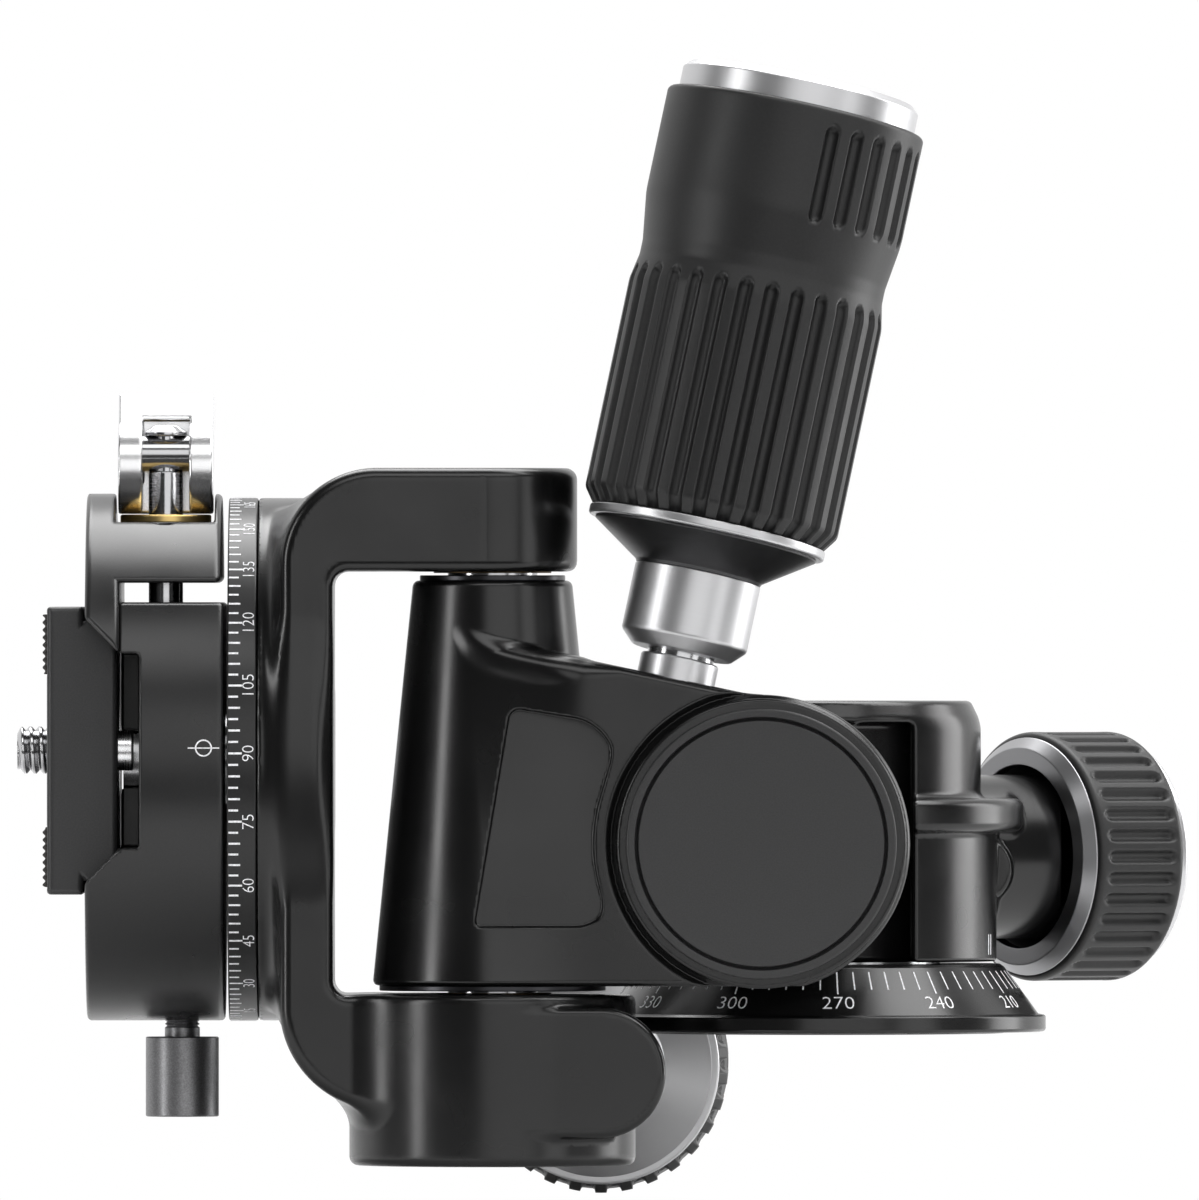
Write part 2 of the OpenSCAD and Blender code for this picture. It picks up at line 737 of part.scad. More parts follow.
module tilt_arm() color("#161618") difference() {
    union() {
        sleeve(sleeve_top);
        arm_web();
        at_tilt() rod(arm_rear_boss_r, housing_flat + gap, arm_end_back + over);
        at_tilt() rod(tilt_boss_r, arm_end_back, boss_front);
    }
    front_slab(arm_front - plate_recess, boss_front + over) recess_outline();
    at_tilt() base_room();
    at_tilt() rod(tilt_bush_r + fit, housing_flat - over, boss_front + over);
    at_tilt() rod(tilt_hollow_r, tilt_seat, boss_front + over);
    at_roll() rod(roll_shaft_r + fit, sleeve_z - over, sleeve_top + over);
    at_tilt_handle() rod(collar_r + fit, -collar_out, ferrule_len);
    at_tilt_handle() rod(rod_r + run, -tilt_rod_out - gap, 0);
    translate([roll_x - sleeve_low_r, -boss_front - over, -over])
        cube([2 * sleeve_low_r + base_r, boss_front + over - arm_back, sleeve_z + over]);
}

module tilt_bush() color("#b08d57") at_tilt()
    tube(tilt_bush_r, tilt_shaft_r + run, housing_flat + gap, tilt_seat);

module tilt_cap() color("#202023") at_tilt() difference() {
    union() {
        rod(tilt_hollow_r - fit, boss_front - cap_spigot, boss_front);
        capped_disc(tilt_cap_r, boss_front, boss_front + tilt_cap_h, 0.3);
    }
    tube(tilt_cap_r - 1.2, tilt_cap_r - 1.7, boss_front + tilt_cap_h / 2, boss_front + tilt_cap_h + over);
}

module roll_shaft() color("#9a9a9d") at_roll() rod(roll_shaft_r, roll_shaft_low, roll_shaft_top);

module roll_washers() color("#2a2a2d") at_roll() {
    tube(sleeve_top_r - washer_inset, roll_shaft_r + fit, sleeve_top, sleeve_top + roll_washer_t);
    tube(sleeve_low_r - washer_inset, roll_shaft_r + fit, sleeve_z - roll_washer_t, sleeve_z);
}

module tilt_handle_collar() color("#b9b9bc") at_tilt_handle()
    tube(collar_r, rod_r + run, -collar_out, -collar_gap);

// Handles: both are alike, each part drawn along +Z from the ferrule's end

module handle_rod(out) {
    rod(rod_r, -out, rod_in);
}

module handle_ferrule() difference() {
    rotate_extrude() polygon([
        [0, 0], [ferrule_r - ferrule_chamfer, 0], [ferrule_r, ferrule_chamfer], [ferrule_r, ferrule_len],
        [handle_flange_r - lip, flange_start], [handle_flange_r, flange_start],
        [handle_flange_r, grip_start], [handle_core_r, grip_start], [handle_core_r, grip_end], [0, grip_end]
    ]);
    rod(rod_r + fit, -over, rod_in + fit);
}

module handle_grip() difference() {
    low_end = grip_start + grip_low_len;
    edge = 2;
    rotate_extrude() polygon([
        [handle_core_r + fit, grip_start], [grip_low_r - edge, grip_start], [grip_low_r, grip_start + edge],
        [grip_low_r, low_end - edge], [grip_waist_r, low_end], [grip_waist_r, low_end + edge],
        [grip_up_r, low_end + 3 * edge], [grip_up_r, grip_end - edge / 2], [grip_up_r - edge / 2, grip_end],
        [handle_core_r + fit, grip_end]
    ]);
    for (i = [0 : grip_grooves - 1])
        rotate([0, 0, i * 360 / grip_grooves])
            translate([grip_low_r, 0, 0]) rod(groove_r, grip_start - over, low_end - 1.5 * edge);
}

module handle_cap() capped_disc(handle_flange_r, grip_end, grip_end + handle_cap_t, 1);

module tilt_handle_rod() color("#c9c9cc") at_tilt_handle() handle_rod(tilt_rod_out);
module tilt_handle_ferrule() color("#c9c9cc") at_tilt_handle() handle_ferrule();
module tilt_handle_grip() color("#1b1b1d") at_tilt_handle() handle_grip();
module tilt_handle_cap() color("#c9c9cc") at_tilt_handle() handle_cap();
module roll_handle_rod() color("#c9c9cc") at_roll_handle() handle_rod(roll_rod_out);
module roll_handle_ferrule() color("#c9c9cc") at_roll_handle() handle_ferrule();
module roll_handle_grip() color("#1b1b1d") at_roll_handle() handle_grip();
module roll_handle_cap() color("#c9c9cc") at_roll_handle() handle_cap();

// Roll fork

// A square corner with one round, drawn into the first quadrant from the corner point
module corner_cut(r) {
    difference() {
        translate([-over, -over]) square(r + over);
        translate([r, r]) circle(r = r);
    }
}

// Front outline of the fork: an upper bar, a web and a lower bar, with rounded outer corners
module fork_outline() {
    difference() {
        translate([fork_x, low_bar_z]) square([roll_x - fork_x, upper_bar_top - low_bar_z]);
        difference() {
            translate([web_inner_x, fork_low_z]) square([roll_x - web_inner_x + over, fork_up_z - fork_low_z]);
            translate([web_inner_x, fork_low_z]) corner_cut(fork_inner_round);
            translate([web_inner_x, fork_up_z]) mirror([0, 1]) corner_cut(fork_inner_round);
        }
        translate([fork_x, low_bar_z]) corner_cut(fork_low_round);
        translate([fork_x, upper_bar_top]) mirror([0, 1]) corner_cut(fork_top_round);
    }
}

module fork_solid() {
    front = fork_half_w - roll_y;
    back = -fork_half_w - roll_y;
    front_slab(back, front) fork_outline();
    at_roll() rod(fork_half_w, fork_up_z, upper_bar_top);
    at_roll() rod(barrel_r, barrel_z, fork_low_z);
    front_slab(lug_back, lug_front) {
        translate([roll_handle_x, roll_handle_z]) circle(r = lug_r);
        translate([roll_x, roll_handle_z - lug_r]) square([roll_handle_x - roll_x, 2 * lug_r]);
    }
    at_clamp() rod(clamp_r, seat_out - seat_t, seat_out);
    at_clamp() rod(spindle_boss_r, spindle_in, seat_out);
}

module ring_screw_places() {
    for (i = [0 : 2])
        rotate([0, 0, i * 120]) translate([ring_screw_circle_r, 0, 0]) children();
}

module roll_fork() color("#161618") difference() {
    fork_solid();
    at_roll() rod(roll_bush_r + fit, barrel_z - over, fork_low_z + over);
    at_roll() rod(roll_bush_r + fit, fork_up_z - over, upper_bar_top + over);
    at_roll() rod(roll_cover_r + fit, barrel_z - over, barrel_z + roll_cover_t);
    at_roll() rod(roll_cover_r + fit, upper_bar_top - roll_cover_t, upper_bar_top + over);
    translate([roll_x, roll_y - slit_w / 2, barrel_z - over])
        cube([2 * barrel_r, slit_w, fork_low_z - barrel_z + 2 * over]);
    at_roll_handle() rod(rod_r + run, -roll_rod_out - gap, 0);
    at_clamp() rod(spindle_r + fit, spindle_in - over, seat_out + over);
    at_clamp() ring_screw_places() rod(ring_screw_r + fit, seat_out - seat_t - over, seat_out + over);
}

module roll_bushes() color("#b08d57") at_roll() {
    tube(roll_bush_r, roll_shaft_r + run, barrel_z + roll_cover_t, fork_low_z);
    tube(roll_bush_r, roll_shaft_r + run, fork_up_z, upper_bar_top - roll_cover_t);
}

module roll_covers() color("#202023") at_roll() {
    rod(roll_cover_r, barrel_z, barrel_z + roll_cover_t);
    rod(roll_cover_r, upper_bar_top - roll_cover_t, upper_bar_top);
}

module scale_ring() color("#3c3c40") at_clamp() difference() {
    rod(clamp_r, seat_out, scale_out);
    rod(spindle_r + fit, seat_out - over, scale_out + over);
    ring_screw_places() rod(ring_screw_r + fit, seat_out - over, scale_out + over);
    ring_screw_places() rod(2 * ring_screw_r + fit, scale_out - ring_screw_head_h, scale_out + over);
}

module scale_ring_screws() color("#55565a") at_clamp() ring_screw_places() {
    rod(ring_screw_r, seat_out - seat_t, scale_out - ring_screw_head_h);
    rod(2 * ring_screw_r, scale_out - ring_screw_head_h, scale_out);
}

module clamp_spindle() color("#9a9a9d") at_clamp() {
    rod(spindle_r, spindle_in, spindle_head_at);
    rod(spindle_head_r, spindle_head_at, plate_seat - gap);
}

// Panning clamp

// Room for the plate between the jaws: a flat seat, with a slanted undercut at the fixed jaw
module plate_room() {
    tip_z = plate_low + jaw_tip;
    foot_z = tip_z - jaw_rise;
    polygon([
        [-clamp_out - over, tip_z + over], [-clamp_out, tip_z], [-plate_seat, foot_z],
        [-plate_seat, clamp_flat_z + over], [-clamp_out - over, clamp_flat_z + over]
    ]);
}

module clamp_body() color("#161618") difference() {
    length = 2 * clamp_r + 2 * over;
    at_clamp() rod(clamp_r, clamp_in, clamp_out);
    front_slab(-length / 2, length / 2) plate_room();
    translate([-clamp_out - over, -length / 2, clamp_flat_z]) cube([clamp_t + 2 * over, length, clamp_r]);
    for (side = [0, 1]) mirror([0, side, 0])
        translate([-plate_seat - over, spindle_head_r - gap, plate_z - channel_half_w])
            cube([over + channel_depth, length, 2 * channel_half_w]);
    at_clamp() rod(clamp_bush_r + fit, clamp_in - over, clamp_out);
    at_clamp() rod(spindle_head_r + gap, spindle_head_at - gap, clamp_out);
    draw_bolt_hole(fit, clamp_flat_z - bolt_in, clamp_flat_z + over);
    guide_pin_places() rod(guide_pin_r + fit, clamp_flat_z - pin_in_clamp, clamp_flat_z + over);
    translate([lock_knob_x, 0, 0]) rod(lock_stem_r + run, 0, clamp_z);
}

module draw_bolt_hole(grow, low, high) {
    translate([lever_x, 0, 0]) rod(draw_bolt_r + grow, low, high);
}

module guide_pin_places() {
    for (side = [-1, 1])
        translate([lever_x, side * guide_pin_y, 0]) children();
}

module clamp_bush() color("#b08d57") difference() {
    at_clamp() tube(clamp_bush_r, spindle_r + run, clamp_in, spindle_head_at - gap);
    translate([lock_knob_x, 0, 0]) rod(lock_stem_r + run, 0, clamp_z);
}

module clamp_brake_pin() color("#b08d57") translate([lock_knob_x, 0, 0])
    rod(lock_stem_r, lock_knob_top + lock_knob_len + gap, clamp_z - spindle_r - gap);

module jaw_guide_pins() color("#b9b9bc") guide_pin_places()
    rod(guide_pin_r, clamp_flat_z - pin_in_clamp, jaw_slot_z - 2);

module draw_bolt() color("#b9b9bc") translate([lever_x, 0, 0]) {
    rod(draw_bolt_r, clamp_flat_z - bolt_in, lever_pivot_z - barrel_pin_r);
    rod(bolt_neck_r, lever_pivot_z - barrel_pin_r - over, bolt_top + over);
    rod(bolt_head_r, bolt_top, bolt_top + bolt_head_h);
}

// Outline of the moving jaw: a hook over the plate's edge, and a block over the clamp's flat
module jaw_outline() {
    tip_z = plate_high - jaw_tip;
    edge = 1;
    lean = 0.4;
    back_x = -clamp_in - lean / 2;
    polygon([
        [-clamp_out, tip_z], [-plate_seat, tip_z + jaw_rise], [-plate_seat, jaw_low_z],
        [back_x, jaw_low_z], [back_x - lean, jaw_top_z - edge], [back_x - lean - edge, jaw_top_z],
        [-clamp_out + edge, jaw_top_z], [-clamp_out, jaw_top_z - edge]
    ]);
}

module clamp_jaw() color("#161618") difference() {
    slot = lever_w + 2 * gap;
    intersection() {
        front_slab(-jaw_r, jaw_r) jaw_outline();
        at_clamp() rod(jaw_r, clamp_in, clamp_out);
    }
    translate([lever_x - slot / 2, -jaw_r - over, jaw_slot_z])
        cube([slot, 2 * jaw_r + 2 * over, jaw_top_z]);
    draw_bolt_hole(run, jaw_low_z - over, jaw_top_z);
    guide_pin_places() rod(guide_pin_r + run, jaw_low_z - over, jaw_slot_z + over);
}

module cam_washer() color("#c9a24a") translate([lever_x, 0, 0])
    tube(cam_washer_r, draw_bolt_r + run, jaw_slot_z, cam_top);

// Side view of one ear and of the paddle behind it, with Y to the right
module ear_outline() {
    translate([0, lever_pivot_z - cam_offset]) circle(r = cam_r);
    polygon([
        [0, lever_pivot_z - cam_offset], [paddle_start + over, lever_pivot_z - cam_offset],
        [paddle_start + over, slant_z + paddle_start + over], [0, slant_z]
    ]);
}

// Bridge between the ears, over the head of the draw bolt
module bridge_outline() {
    start = bolt_head_r + 1.4 * gap;
    low = bolt_top + bolt_head_h + gap;
    polygon([
        [start, low], [paddle_start + over, low],
        [paddle_start + over, slant_z + paddle_start + over], [start, slant_z + start]
    ]);
}

module paddle_outline() {
    tip_t = 3;
    root = 4;
    low = lever_pivot_z - cam_reach;
    polygon([
        [paddle_start, low], [paddle_start + root / 2, low], [paddle_start + root, lever_pivot_z - root],
        [lever_len, lever_top_z - tip_t], [lever_len, lever_top_z],
        [lever_slant_h, lever_top_z], [paddle_start, slant_z + paddle_start]
    ]);
}

module lever_slab(width) {
    translate([lever_x - width / 2, 0, 0]) rotate([90, 0, 90]) linear_extrude(width) children();
}

module cam_lever() color("#cfcfd2") difference() {
    union() {
        for (side = [-1, 1])
            translate([side * (lever_w - ear_t) / 2, 0, 0]) lever_slab(ear_t) ear_outline();
        lever_slab(lever_w) paddle_outline();
        lever_slab(lever_w) bridge_outline();
    }
    lever_axis() rod(barrel_pin_r + run, -lever_w, lever_w);
}

// Local +Z runs along the lever's pivot
module lever_axis() {
    translate([lever_x, 0, lever_pivot_z]) rotate([0, 90, 0]) children();
}

module lever_pin() color("#b9b9bc") difference() {
    lever_axis() rod(barrel_pin_r, -lever_w / 2, lever_w / 2);
    translate([lever_x, 0, lever_pivot_z]) rod(bolt_neck_r + fit, -2 * barrel_pin_r, 2 * barrel_pin_r);
}

module clamp_lock_knob() color("#232326") translate([lock_knob_x, 0, 0]) {
    low = lock_knob_top - lock_knob_len;
    capped_disc(lock_knob_r, low, lock_knob_top, 0.4);
    rod(lock_stem_r, lock_knob_top - over, lock_knob_top + lock_knob_len);
}

// Camera plate

// Cross-section of the plate: each side has a groove with one slanted and one square flank
module plate_outline() {
    low_lip = plate_in + plate_groove_at - plate_groove;
    polygon([
        [-plate_in, plate_low], [-low_lip, plate_low], [-groove_out, plate_low + plate_groove],
        [-groove_out, plate_low], [-plate_out + 0.5, plate_low], [-plate_out, plate_low + 0.5],
        [-plate_out, plate_high - 0.5], [-plate_out + 0.5, plate_high], [-groove_out, plate_high],
        [-groove_out, plate_high - plate_groove], [-low_lip, plate_high], [-plate_in, plate_high]
    ]);
}

// The two pads, grown by a clearance
module pads(grow) {
    edge = 1;
    for (side = [-1, 1])
        translate([-plate_out - pad_rise, -plate_len / 2 + edge - grow, plate_z + side * (plate_w - pad_w) / 2
            - side * edge - pad_w / 2 - grow])
            cube([pad_t + grow, plate_len - 2 * edge + 2 * grow, pad_w + 2 * grow]);
}

module stop_screw_places() {
    for (side = [-1, 1])
        translate([0, side * stop_screw_y, plate_z]) rotate([0, -90, 0]) children();
}

module at_camera_screw() {
    translate([0, 0, plate_z]) rotate([0, -90, 0]) children();
}

module camera_plate() color("#19191b") difference() {
    front_slab(-plate_len / 2, plate_len / 2) plate_outline();
    pads(fit);
    at_camera_screw() rod(camera_screw_r + run, plate_in - over, plate_out + over);
    at_camera_screw() rod(camera_head_r + gap, plate_in - over, plate_in + camera_head_t + gap);
    stop_screw_places() rod(stop_shank_r + fit, plate_in - over, plate_in + stop_shank_len);
}

module plate_pads() color("#232325") pads(0);

module plate_stop_screws() color("#b9b9bc") stop_screw_places() {
    rod(stop_head_r, plate_in - stop_head_h, plate_in);
    rod(stop_shank_r, plate_in, plate_in + stop_shank_len);
}

module camera_screw() color("#b9b9bc") at_camera_screw() {
    rod(camera_head_r, plate_in, plate_in + camera_head_t);
    rod(camera_neck_r, plate_in + camera_head_t, plate_out);
    rod(camera_screw_r, plate_out, plate_out + camera_screw_len);
}

base_plate();
tripod_insert();
pan_post();
base_screws();
pan_retainer();
pan_retainer_screw();
pan_housing();
pan_bush();
pan_brake_plug();
housing_cover();
tilt_shaft();
tilt_retainer();
tilt_retainer_screw();
pan_knob_core();
pan_knob_ring();
pan_knob_grip();
pan_knob_cap();
tilt_arm();
tilt_bush();
tilt_cap();
roll_shaft();
roll_washers();
tilt_handle_collar();
tilt_handle_rod();
tilt_handle_ferrule();
tilt_handle_grip();
tilt_handle_cap();
roll_fork();
roll_bushes();
roll_covers();
scale_ring();
scale_ring_screws();
clamp_spindle();
roll_handle_rod();
roll_handle_ferrule();
roll_handle_grip();
roll_handle_cap();
clamp_body();
clamp_bush();
clamp_brake_pin();
jaw_guide_pins();
draw_bolt();
clamp_jaw();
cam_washer();
cam_lever();
lever_pin();
clamp_lock_knob();
camera_plate();
plate_pads();
plate_stop_screws();
camera_screw();
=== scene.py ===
"""Looks of the four-way tripod head: cast, turned and moulded pieces, dials, materials, light and camera.

Sizes are in millimetres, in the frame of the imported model, and become metres when a mesh is made.
"""
import json
from functools import reduce
from math import asin, atan2, cos, hypot, pi, radians, sin, sqrt, tan

import bpy
import numpy as np
import openvdb
from mathutils import Matrix, Vector


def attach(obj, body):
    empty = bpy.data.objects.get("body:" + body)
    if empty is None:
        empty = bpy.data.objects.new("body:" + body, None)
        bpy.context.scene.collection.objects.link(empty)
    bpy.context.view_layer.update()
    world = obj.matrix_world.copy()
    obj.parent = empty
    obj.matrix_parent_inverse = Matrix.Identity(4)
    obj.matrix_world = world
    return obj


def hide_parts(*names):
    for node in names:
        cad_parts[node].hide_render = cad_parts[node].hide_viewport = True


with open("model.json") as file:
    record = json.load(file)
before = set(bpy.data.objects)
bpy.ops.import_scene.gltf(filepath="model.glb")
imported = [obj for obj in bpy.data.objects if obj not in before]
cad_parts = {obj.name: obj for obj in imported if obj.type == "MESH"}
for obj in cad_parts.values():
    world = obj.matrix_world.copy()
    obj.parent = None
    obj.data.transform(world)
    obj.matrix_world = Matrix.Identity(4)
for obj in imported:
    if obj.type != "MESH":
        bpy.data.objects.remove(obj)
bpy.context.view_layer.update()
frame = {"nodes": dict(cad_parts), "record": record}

MM = 0.001

# Pan stage
BASE_R, BASE_RIM_H, BASE_H = 30.0, 2.4, 9.3
BASE_SEAT_R, BASE_SEAT_H = 24.4, 0.2
DIAL_LOW_R, DIAL_TOP_R, DIAL_STEP, DIAL_EDGE, DIAL_BEVEL = 29.0, 24.4, 0.2, 0.4, 0.6
INSERT_R = 7.0
HOUSING_Z, HOUSING_TOP = 9.6, 44.5
HOUSING_LOW_R, HOUSING_FLANGE_R, HOUSING_UP_R = 23.4, 27.0, 21.3
FLANGE_Z, FLANGE_T = 27.0, 4.4
LID_H, LID_BEVEL, LID_SLOPE = 2.9, 1.4, 0.45
HOUSING_FLAT, HOUSING_FLAT_END = 20.5, 12.0
TILT_PAD_R, HOUSING_RELIEF = 15.5, 16.3
RELIEF_TURN, RELIEF_MID_X = radians(40), 9.0
COVER_R, COVER_T, COVER_LEDGE = 15.0, 1.8, 2.5
PAN_BUSH_R, POST_FOOT_R, POST_FOOT_TOP, POST_TOP = 11.55, 16.0, 12.1, 33.0
KNOB_ANGLE, KNOB_Z, KNOB_START = 35.5, 23.5, 32.6
KNOB_R, KNOB_LEN, KNOB_RING_T, KNOB_RECESS_R, KNOB_RECESS = 16.75, 14.0, 1.6, 12.3, 3.0
NECK_R, NECK_END = 11.0, 35.3
NECK_BOSS_X, NECK_BOSS_Y, NECK_BOSS_Z, NECK_BOSS_R, NECK_BOSS_LEN = 20.9, 2.5, 21.8, 4.6, 10.0
KNOB_RING_INSET, KNOB_RING_BEVEL = 0.75, 1.4
KNOB_SCREW_R, KNOB_SCREW_IN, KNOB_SCREW_TIP, KNOB_CORE_R = 4.0, 5.0, 15.9, 9.0
KNOB_CAP_INSET, KNOB_CAP_T, KNOB_CAP_BEVEL, KNOB_CAP_BEVEL_H = 1.2, 2.0, 1.0, 0.8
KNOB_PILLS, KNOB_PILL_W, KNOB_PILL_DEPTH, KNOB_PILL_LOW, KNOB_PILL_HIGH = 36, 1.75, 0.85, 2.4, 2.2

# Tilt stage
TILT_X, TILT_Z = -8.27, 25.6
TILT_SHAFT_R, TILT_SHAFT_IN, TILT_SHAFT_OUT = 7.0, 13.6, 30.0
TILT_BUSH_R, TILT_HOLLOW_R, TILT_SEAT = 9.05, 13.0, 32.9
ARM_END_R, BOSS_R, REAR_BOSS_R = 19.8, 19.3, 14.0
ARM_BACK, ARM_END_BACK, ARM_FRONT, BOSS_FRONT = 25.3, 27.6, 37.5, 38.7
TILT_CAP_R, TILT_CAP_H, TILT_CAP_IN = 18.0, 0.9, 1.4
CAP_GROOVE_AT, CAP_GROOVE_HALF, CAP_GROOVE_DEPTH = 1.4, 0.3, 0.8
GROOVE_W, GROOVE_DEPTH = 1.4, 0.85
ROLL_X, ROLL_Y = -44.07, -22.5
SLEEVE_Z, SLEEVE_TOP, SLEEVE_LOW_R, SLEEVE_TOP_R = 6.6, 60.6, 16.0, 10.6
ARM_TOP_X, ARM_TOP_Z, ARM_FALL = -32.5, 50.3, 12.0
ARM_RISE_X, ARM_RISE = -36.0, 0.0114
ARM_EDGE_X, ARM_EDGE_R = (-38.0, -27.0), (4.5, 1.2)
CREST_X, CREST_Z, CREST_FALL, CREST_RISE_X, CREST_RISE = -40.9, 50.4, 0.154, -42.0, 0.074
CREST_R, CREST_LEN, CREST_OUT, CREST_SINK, CREST_BELOW = 3.0, 10.5, 0.4, 2.0, 0.4
RECESS_TOP, RECESS_FRONT, RECESS_LEAN, RECESS_CLEAR = 43.7, 34.3, 0.079, 3.0
ROLL_SHAFT_R = 6.0

# Handles
TILT_HANDLE_AT = (-18.9, -31.0, 50.9)
TILT_HANDLE_LEAN, TILT_HANDLE_BACK = 12.0, 4.5
ROLL_HANDLE_AT = (-29.6, 21.5, -4.9)
FERRULE_R, FERRULE_LEN, FERRULE_BEVEL = 8.5, 10.7, 1.8
CONE_H, CONE_INSET, CONE_SETBACK, CONE_LIP, CONE_LIP_H, CONE_RIM_H = 5.1, 1.0, 0.15, 0.1, 0.5, 0.3
HANDLE_FLANGE_R, HANDLE_FLANGE_T, HANDLE_CORE_R = 16.0, 1.3, 9.0
GRIP_LOW_R, GRIP_WAIST_R, GRIP_UP_R = 17.2, 16.5, 17.4
GRIP_LOW_LEN, GRIP_LEN = 34.0, 56.9
GRIP_GROOVES, GRIP_GROOVE_W, GRIP_GROOVE_DEPTH, GRIP_RUN_OUT, GRIP_GROOVE_END = 30, 2.1, 1.1, 4.0, 2.8
GRIP_PILL_DEPTH, GRIP_PILL_LOW, GRIP_PILL_HIGH = 1.0, 14.4, 3.4
CAP_T, CAP_BEVEL, CAP_RIM, CAP_DISH, CAP_SLOPE = 3.8, 0.9, 2.6, 0.5, 0.4
ROD_R, ROD_IN, TILT_ROD_OUT, ROLL_ROD_OUT = 4.5, 28.0, 12.0, 59.5
COLLAR_R, COLLAR_OUT, COLLAR_GAP = 5.25, 7.0, 0.8

# Roll fork
FORK_X, WEB_INNER_X, FORK_HALF_W = -72.4, -65.1, 11.3
FORK_UP_Z, FORK_LOW_Z, FORK_TOP, LOW_BAR_Z = 61.6, 5.6, 75.6, -10.0
FORK_TOP_ROUND, FORK_LOW_ROUND, FORK_INNER_ROUND = 13.0, 14.0, 1.8
BARREL_R, BARREL_Z = 19.1, -17.4
LUG_R, LUG_FRONT, LUG_BACK, LUG_SKIN, SLIT_W = 8.65, 40.5, 32.5, 2.2, 1.2
ROLL_BUSH_R, ROLL_BUSH_PAST, ROLL_COVER_R, ROLL_COVER_T, SLEEVE_ROOM = 7.85, 4.0, 8.45, 1.6, 2.0
WASHER_T, WASHER_INSET = 0.7, 0.9

# Panning clamp and camera plate, with distances along -X
CLAMP_Z, CLAMP_R = 36.67, 35.0
SEAT_OUT, SEAT_T, SCALE_OUT = 75.5, 8.0, 79.4
SPINDLE_R, SPINDLE_BOSS_R, SPINDLE_IN = 6.0, 14.0, 66.1
SPINDLE_HEAD_R, SPINDLE_HEAD_AT = 9.0, 88.2
CLAMP_IN, CLAMP_OUT, PLATE_SEAT, CHANNEL_FLOOR = 79.9, 98.4, 93.8, 91.1
CLAMP_BUSH_R, CHANNEL_HALF_W, CLAMP_FLAT_Z, PLATE_ROOM_Z = 8.55, 13.0, 57.7, 6.7
JAW_LOW_Z, JAW_TOP_Z, JAW_R, JAW_SLOT_Z = 60.3, 72.5, 35.8, 68.4
JAW_TIP, JAW_GAP = 1.58, 0.4
LEVER_X, LEVER_W, EAR_T, LEVER_Z, LEVER_TOP, LEVER_LEN = -87.9, 12.7, 3.2, 77.6, 85.7, 34.0
CAM_R, CAM_OFFSET, PADDLE_START, LEVER_SLANT_H = 6.05, 2.0, 5.6, 6.4
LEVER_ROOT, LEVER_TIP_T, LEVER_ROOT_T = 4.0, 3.0, 2.0
BARREL_PIN_R, DRAW_BOLT_R, BOLT_NECK_R = 2.4, 2.3, 1.5
BOLT_HEAD_R, BOLT_HEAD_H, BOLT_EDGE_H, BOLT_DOME_R, BOLT_IN = 2.8, 1.7, 0.5, 1.5, 9.0
GUIDE_PIN_R, GUIDE_PIN_Y, GUIDE_PIN_IN = 2.0, 15.0, 14.0
CAM_WASHER_R, CAM_WASHER_T = 6.1, 1.05
LOCK_X, LOCK_R, LOCK_TOP, LOCK_LEN, LOCK_STEM_R = -85.7, 4.9, -0.5, 10.7, 2.35
PLATE_IN, PLATE_OUT, PLATE_Z, PLATE_W, PLATE_LEN = 94.1, 103.5, 37.9, 38.4, 50.0
PLATE_GROOVE, PLATE_GROOVE_AT = 2.3, 4.6
PAD_T, PAD_RISE, PAD_W, PAD_EDGE, PAD_RIB, PAD_RIB_PITCH = 1.1, 0.6, 8.0, 1.0, 0.18, 1.0
CAMERA_SCREW_R, CAMERA_SCREW_LEN, CAMERA_HEAD_R, CAMERA_HEAD_T = 3.175, 4.3, 6.0, 2.4
STOP_HEAD_R, STOP_HEAD_H, STOP_SHANK_R, STOP_SHANK_LEN, STOP_Y = 2.65, 2.1, 1.5, 5.0, 21.0
STOP_SOCKET_R, STOP_SOCKET_H, STOP_SOCKET_BEVEL = 1.2, 0.6, 0.1

FIT, RUN, GAP, LAP = 0.02, 0.05, 0.3, 1.0


# Local frames: each turns local +Z into the axis of its joint or piece

def place(x, y, z):
    return Matrix.Translation(Vector((x, y, z)) * MM)


def turn(angle, axis):
    return Matrix.Rotation(radians(angle), 4, axis)


AT_BASE = Matrix.Identity(4)
AT_TILT = place(TILT_X, 0, TILT_Z) @ turn(90, "X")
AT_CLAMP = place(0, 0, CLAMP_Z) @ turn(-90, "Y")
AT_PLATE = place(0, 0, PLATE_Z) @ turn(-90, "Y")
AT_KNOB = turn(KNOB_ANGLE, "Z") @ place(0, 0, KNOB_Z) @ turn(90, "Y")
AT_TILT_HANDLE = place(*TILT_HANDLE_AT) @ turn(TILT_HANDLE_LEAN, "Y") @ turn(-TILT_HANDLE_BACK, "X")
AT_ROLL_HANDLE = place(*ROLL_HANDLE_AT) @ turn(-90, "X")
AT_ROLL = place(ROLL_X, ROLL_Y, 0)
AT_BOLT = place(LEVER_X, 0, 0)
AT_LOCK = place(LOCK_X, 0, 0)


# Mesh tools

def add_object(name, data):
    holder = bpy.data.objects.new(name, data)
    bpy.context.scene.collection.objects.link(holder)
    return holder


def add_piece(name, points, faces, at, body, material, nodes=(), normals=None):
    """Make a smooth mesh object from millimetres, ride it on a body and let it stand for CAD nodes."""
    mesh = bpy.data.meshes.new(name)
    corners = [tuple(p) for p in np.asarray(points, float) * MM]
    mesh.from_pydata(corners, [], [list(map(int, f)) for f in faces])
    mesh.shade_smooth()
    if normals is not None:
        mesh.normals_split_custom_set_from_vertices([tuple(n) for n in normals])
    mesh.materials.append(material)
    piece = add_object(name, mesh)
    piece.matrix_world = at
    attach(piece, body)
    if nodes:
        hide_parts(*nodes)
    return piece


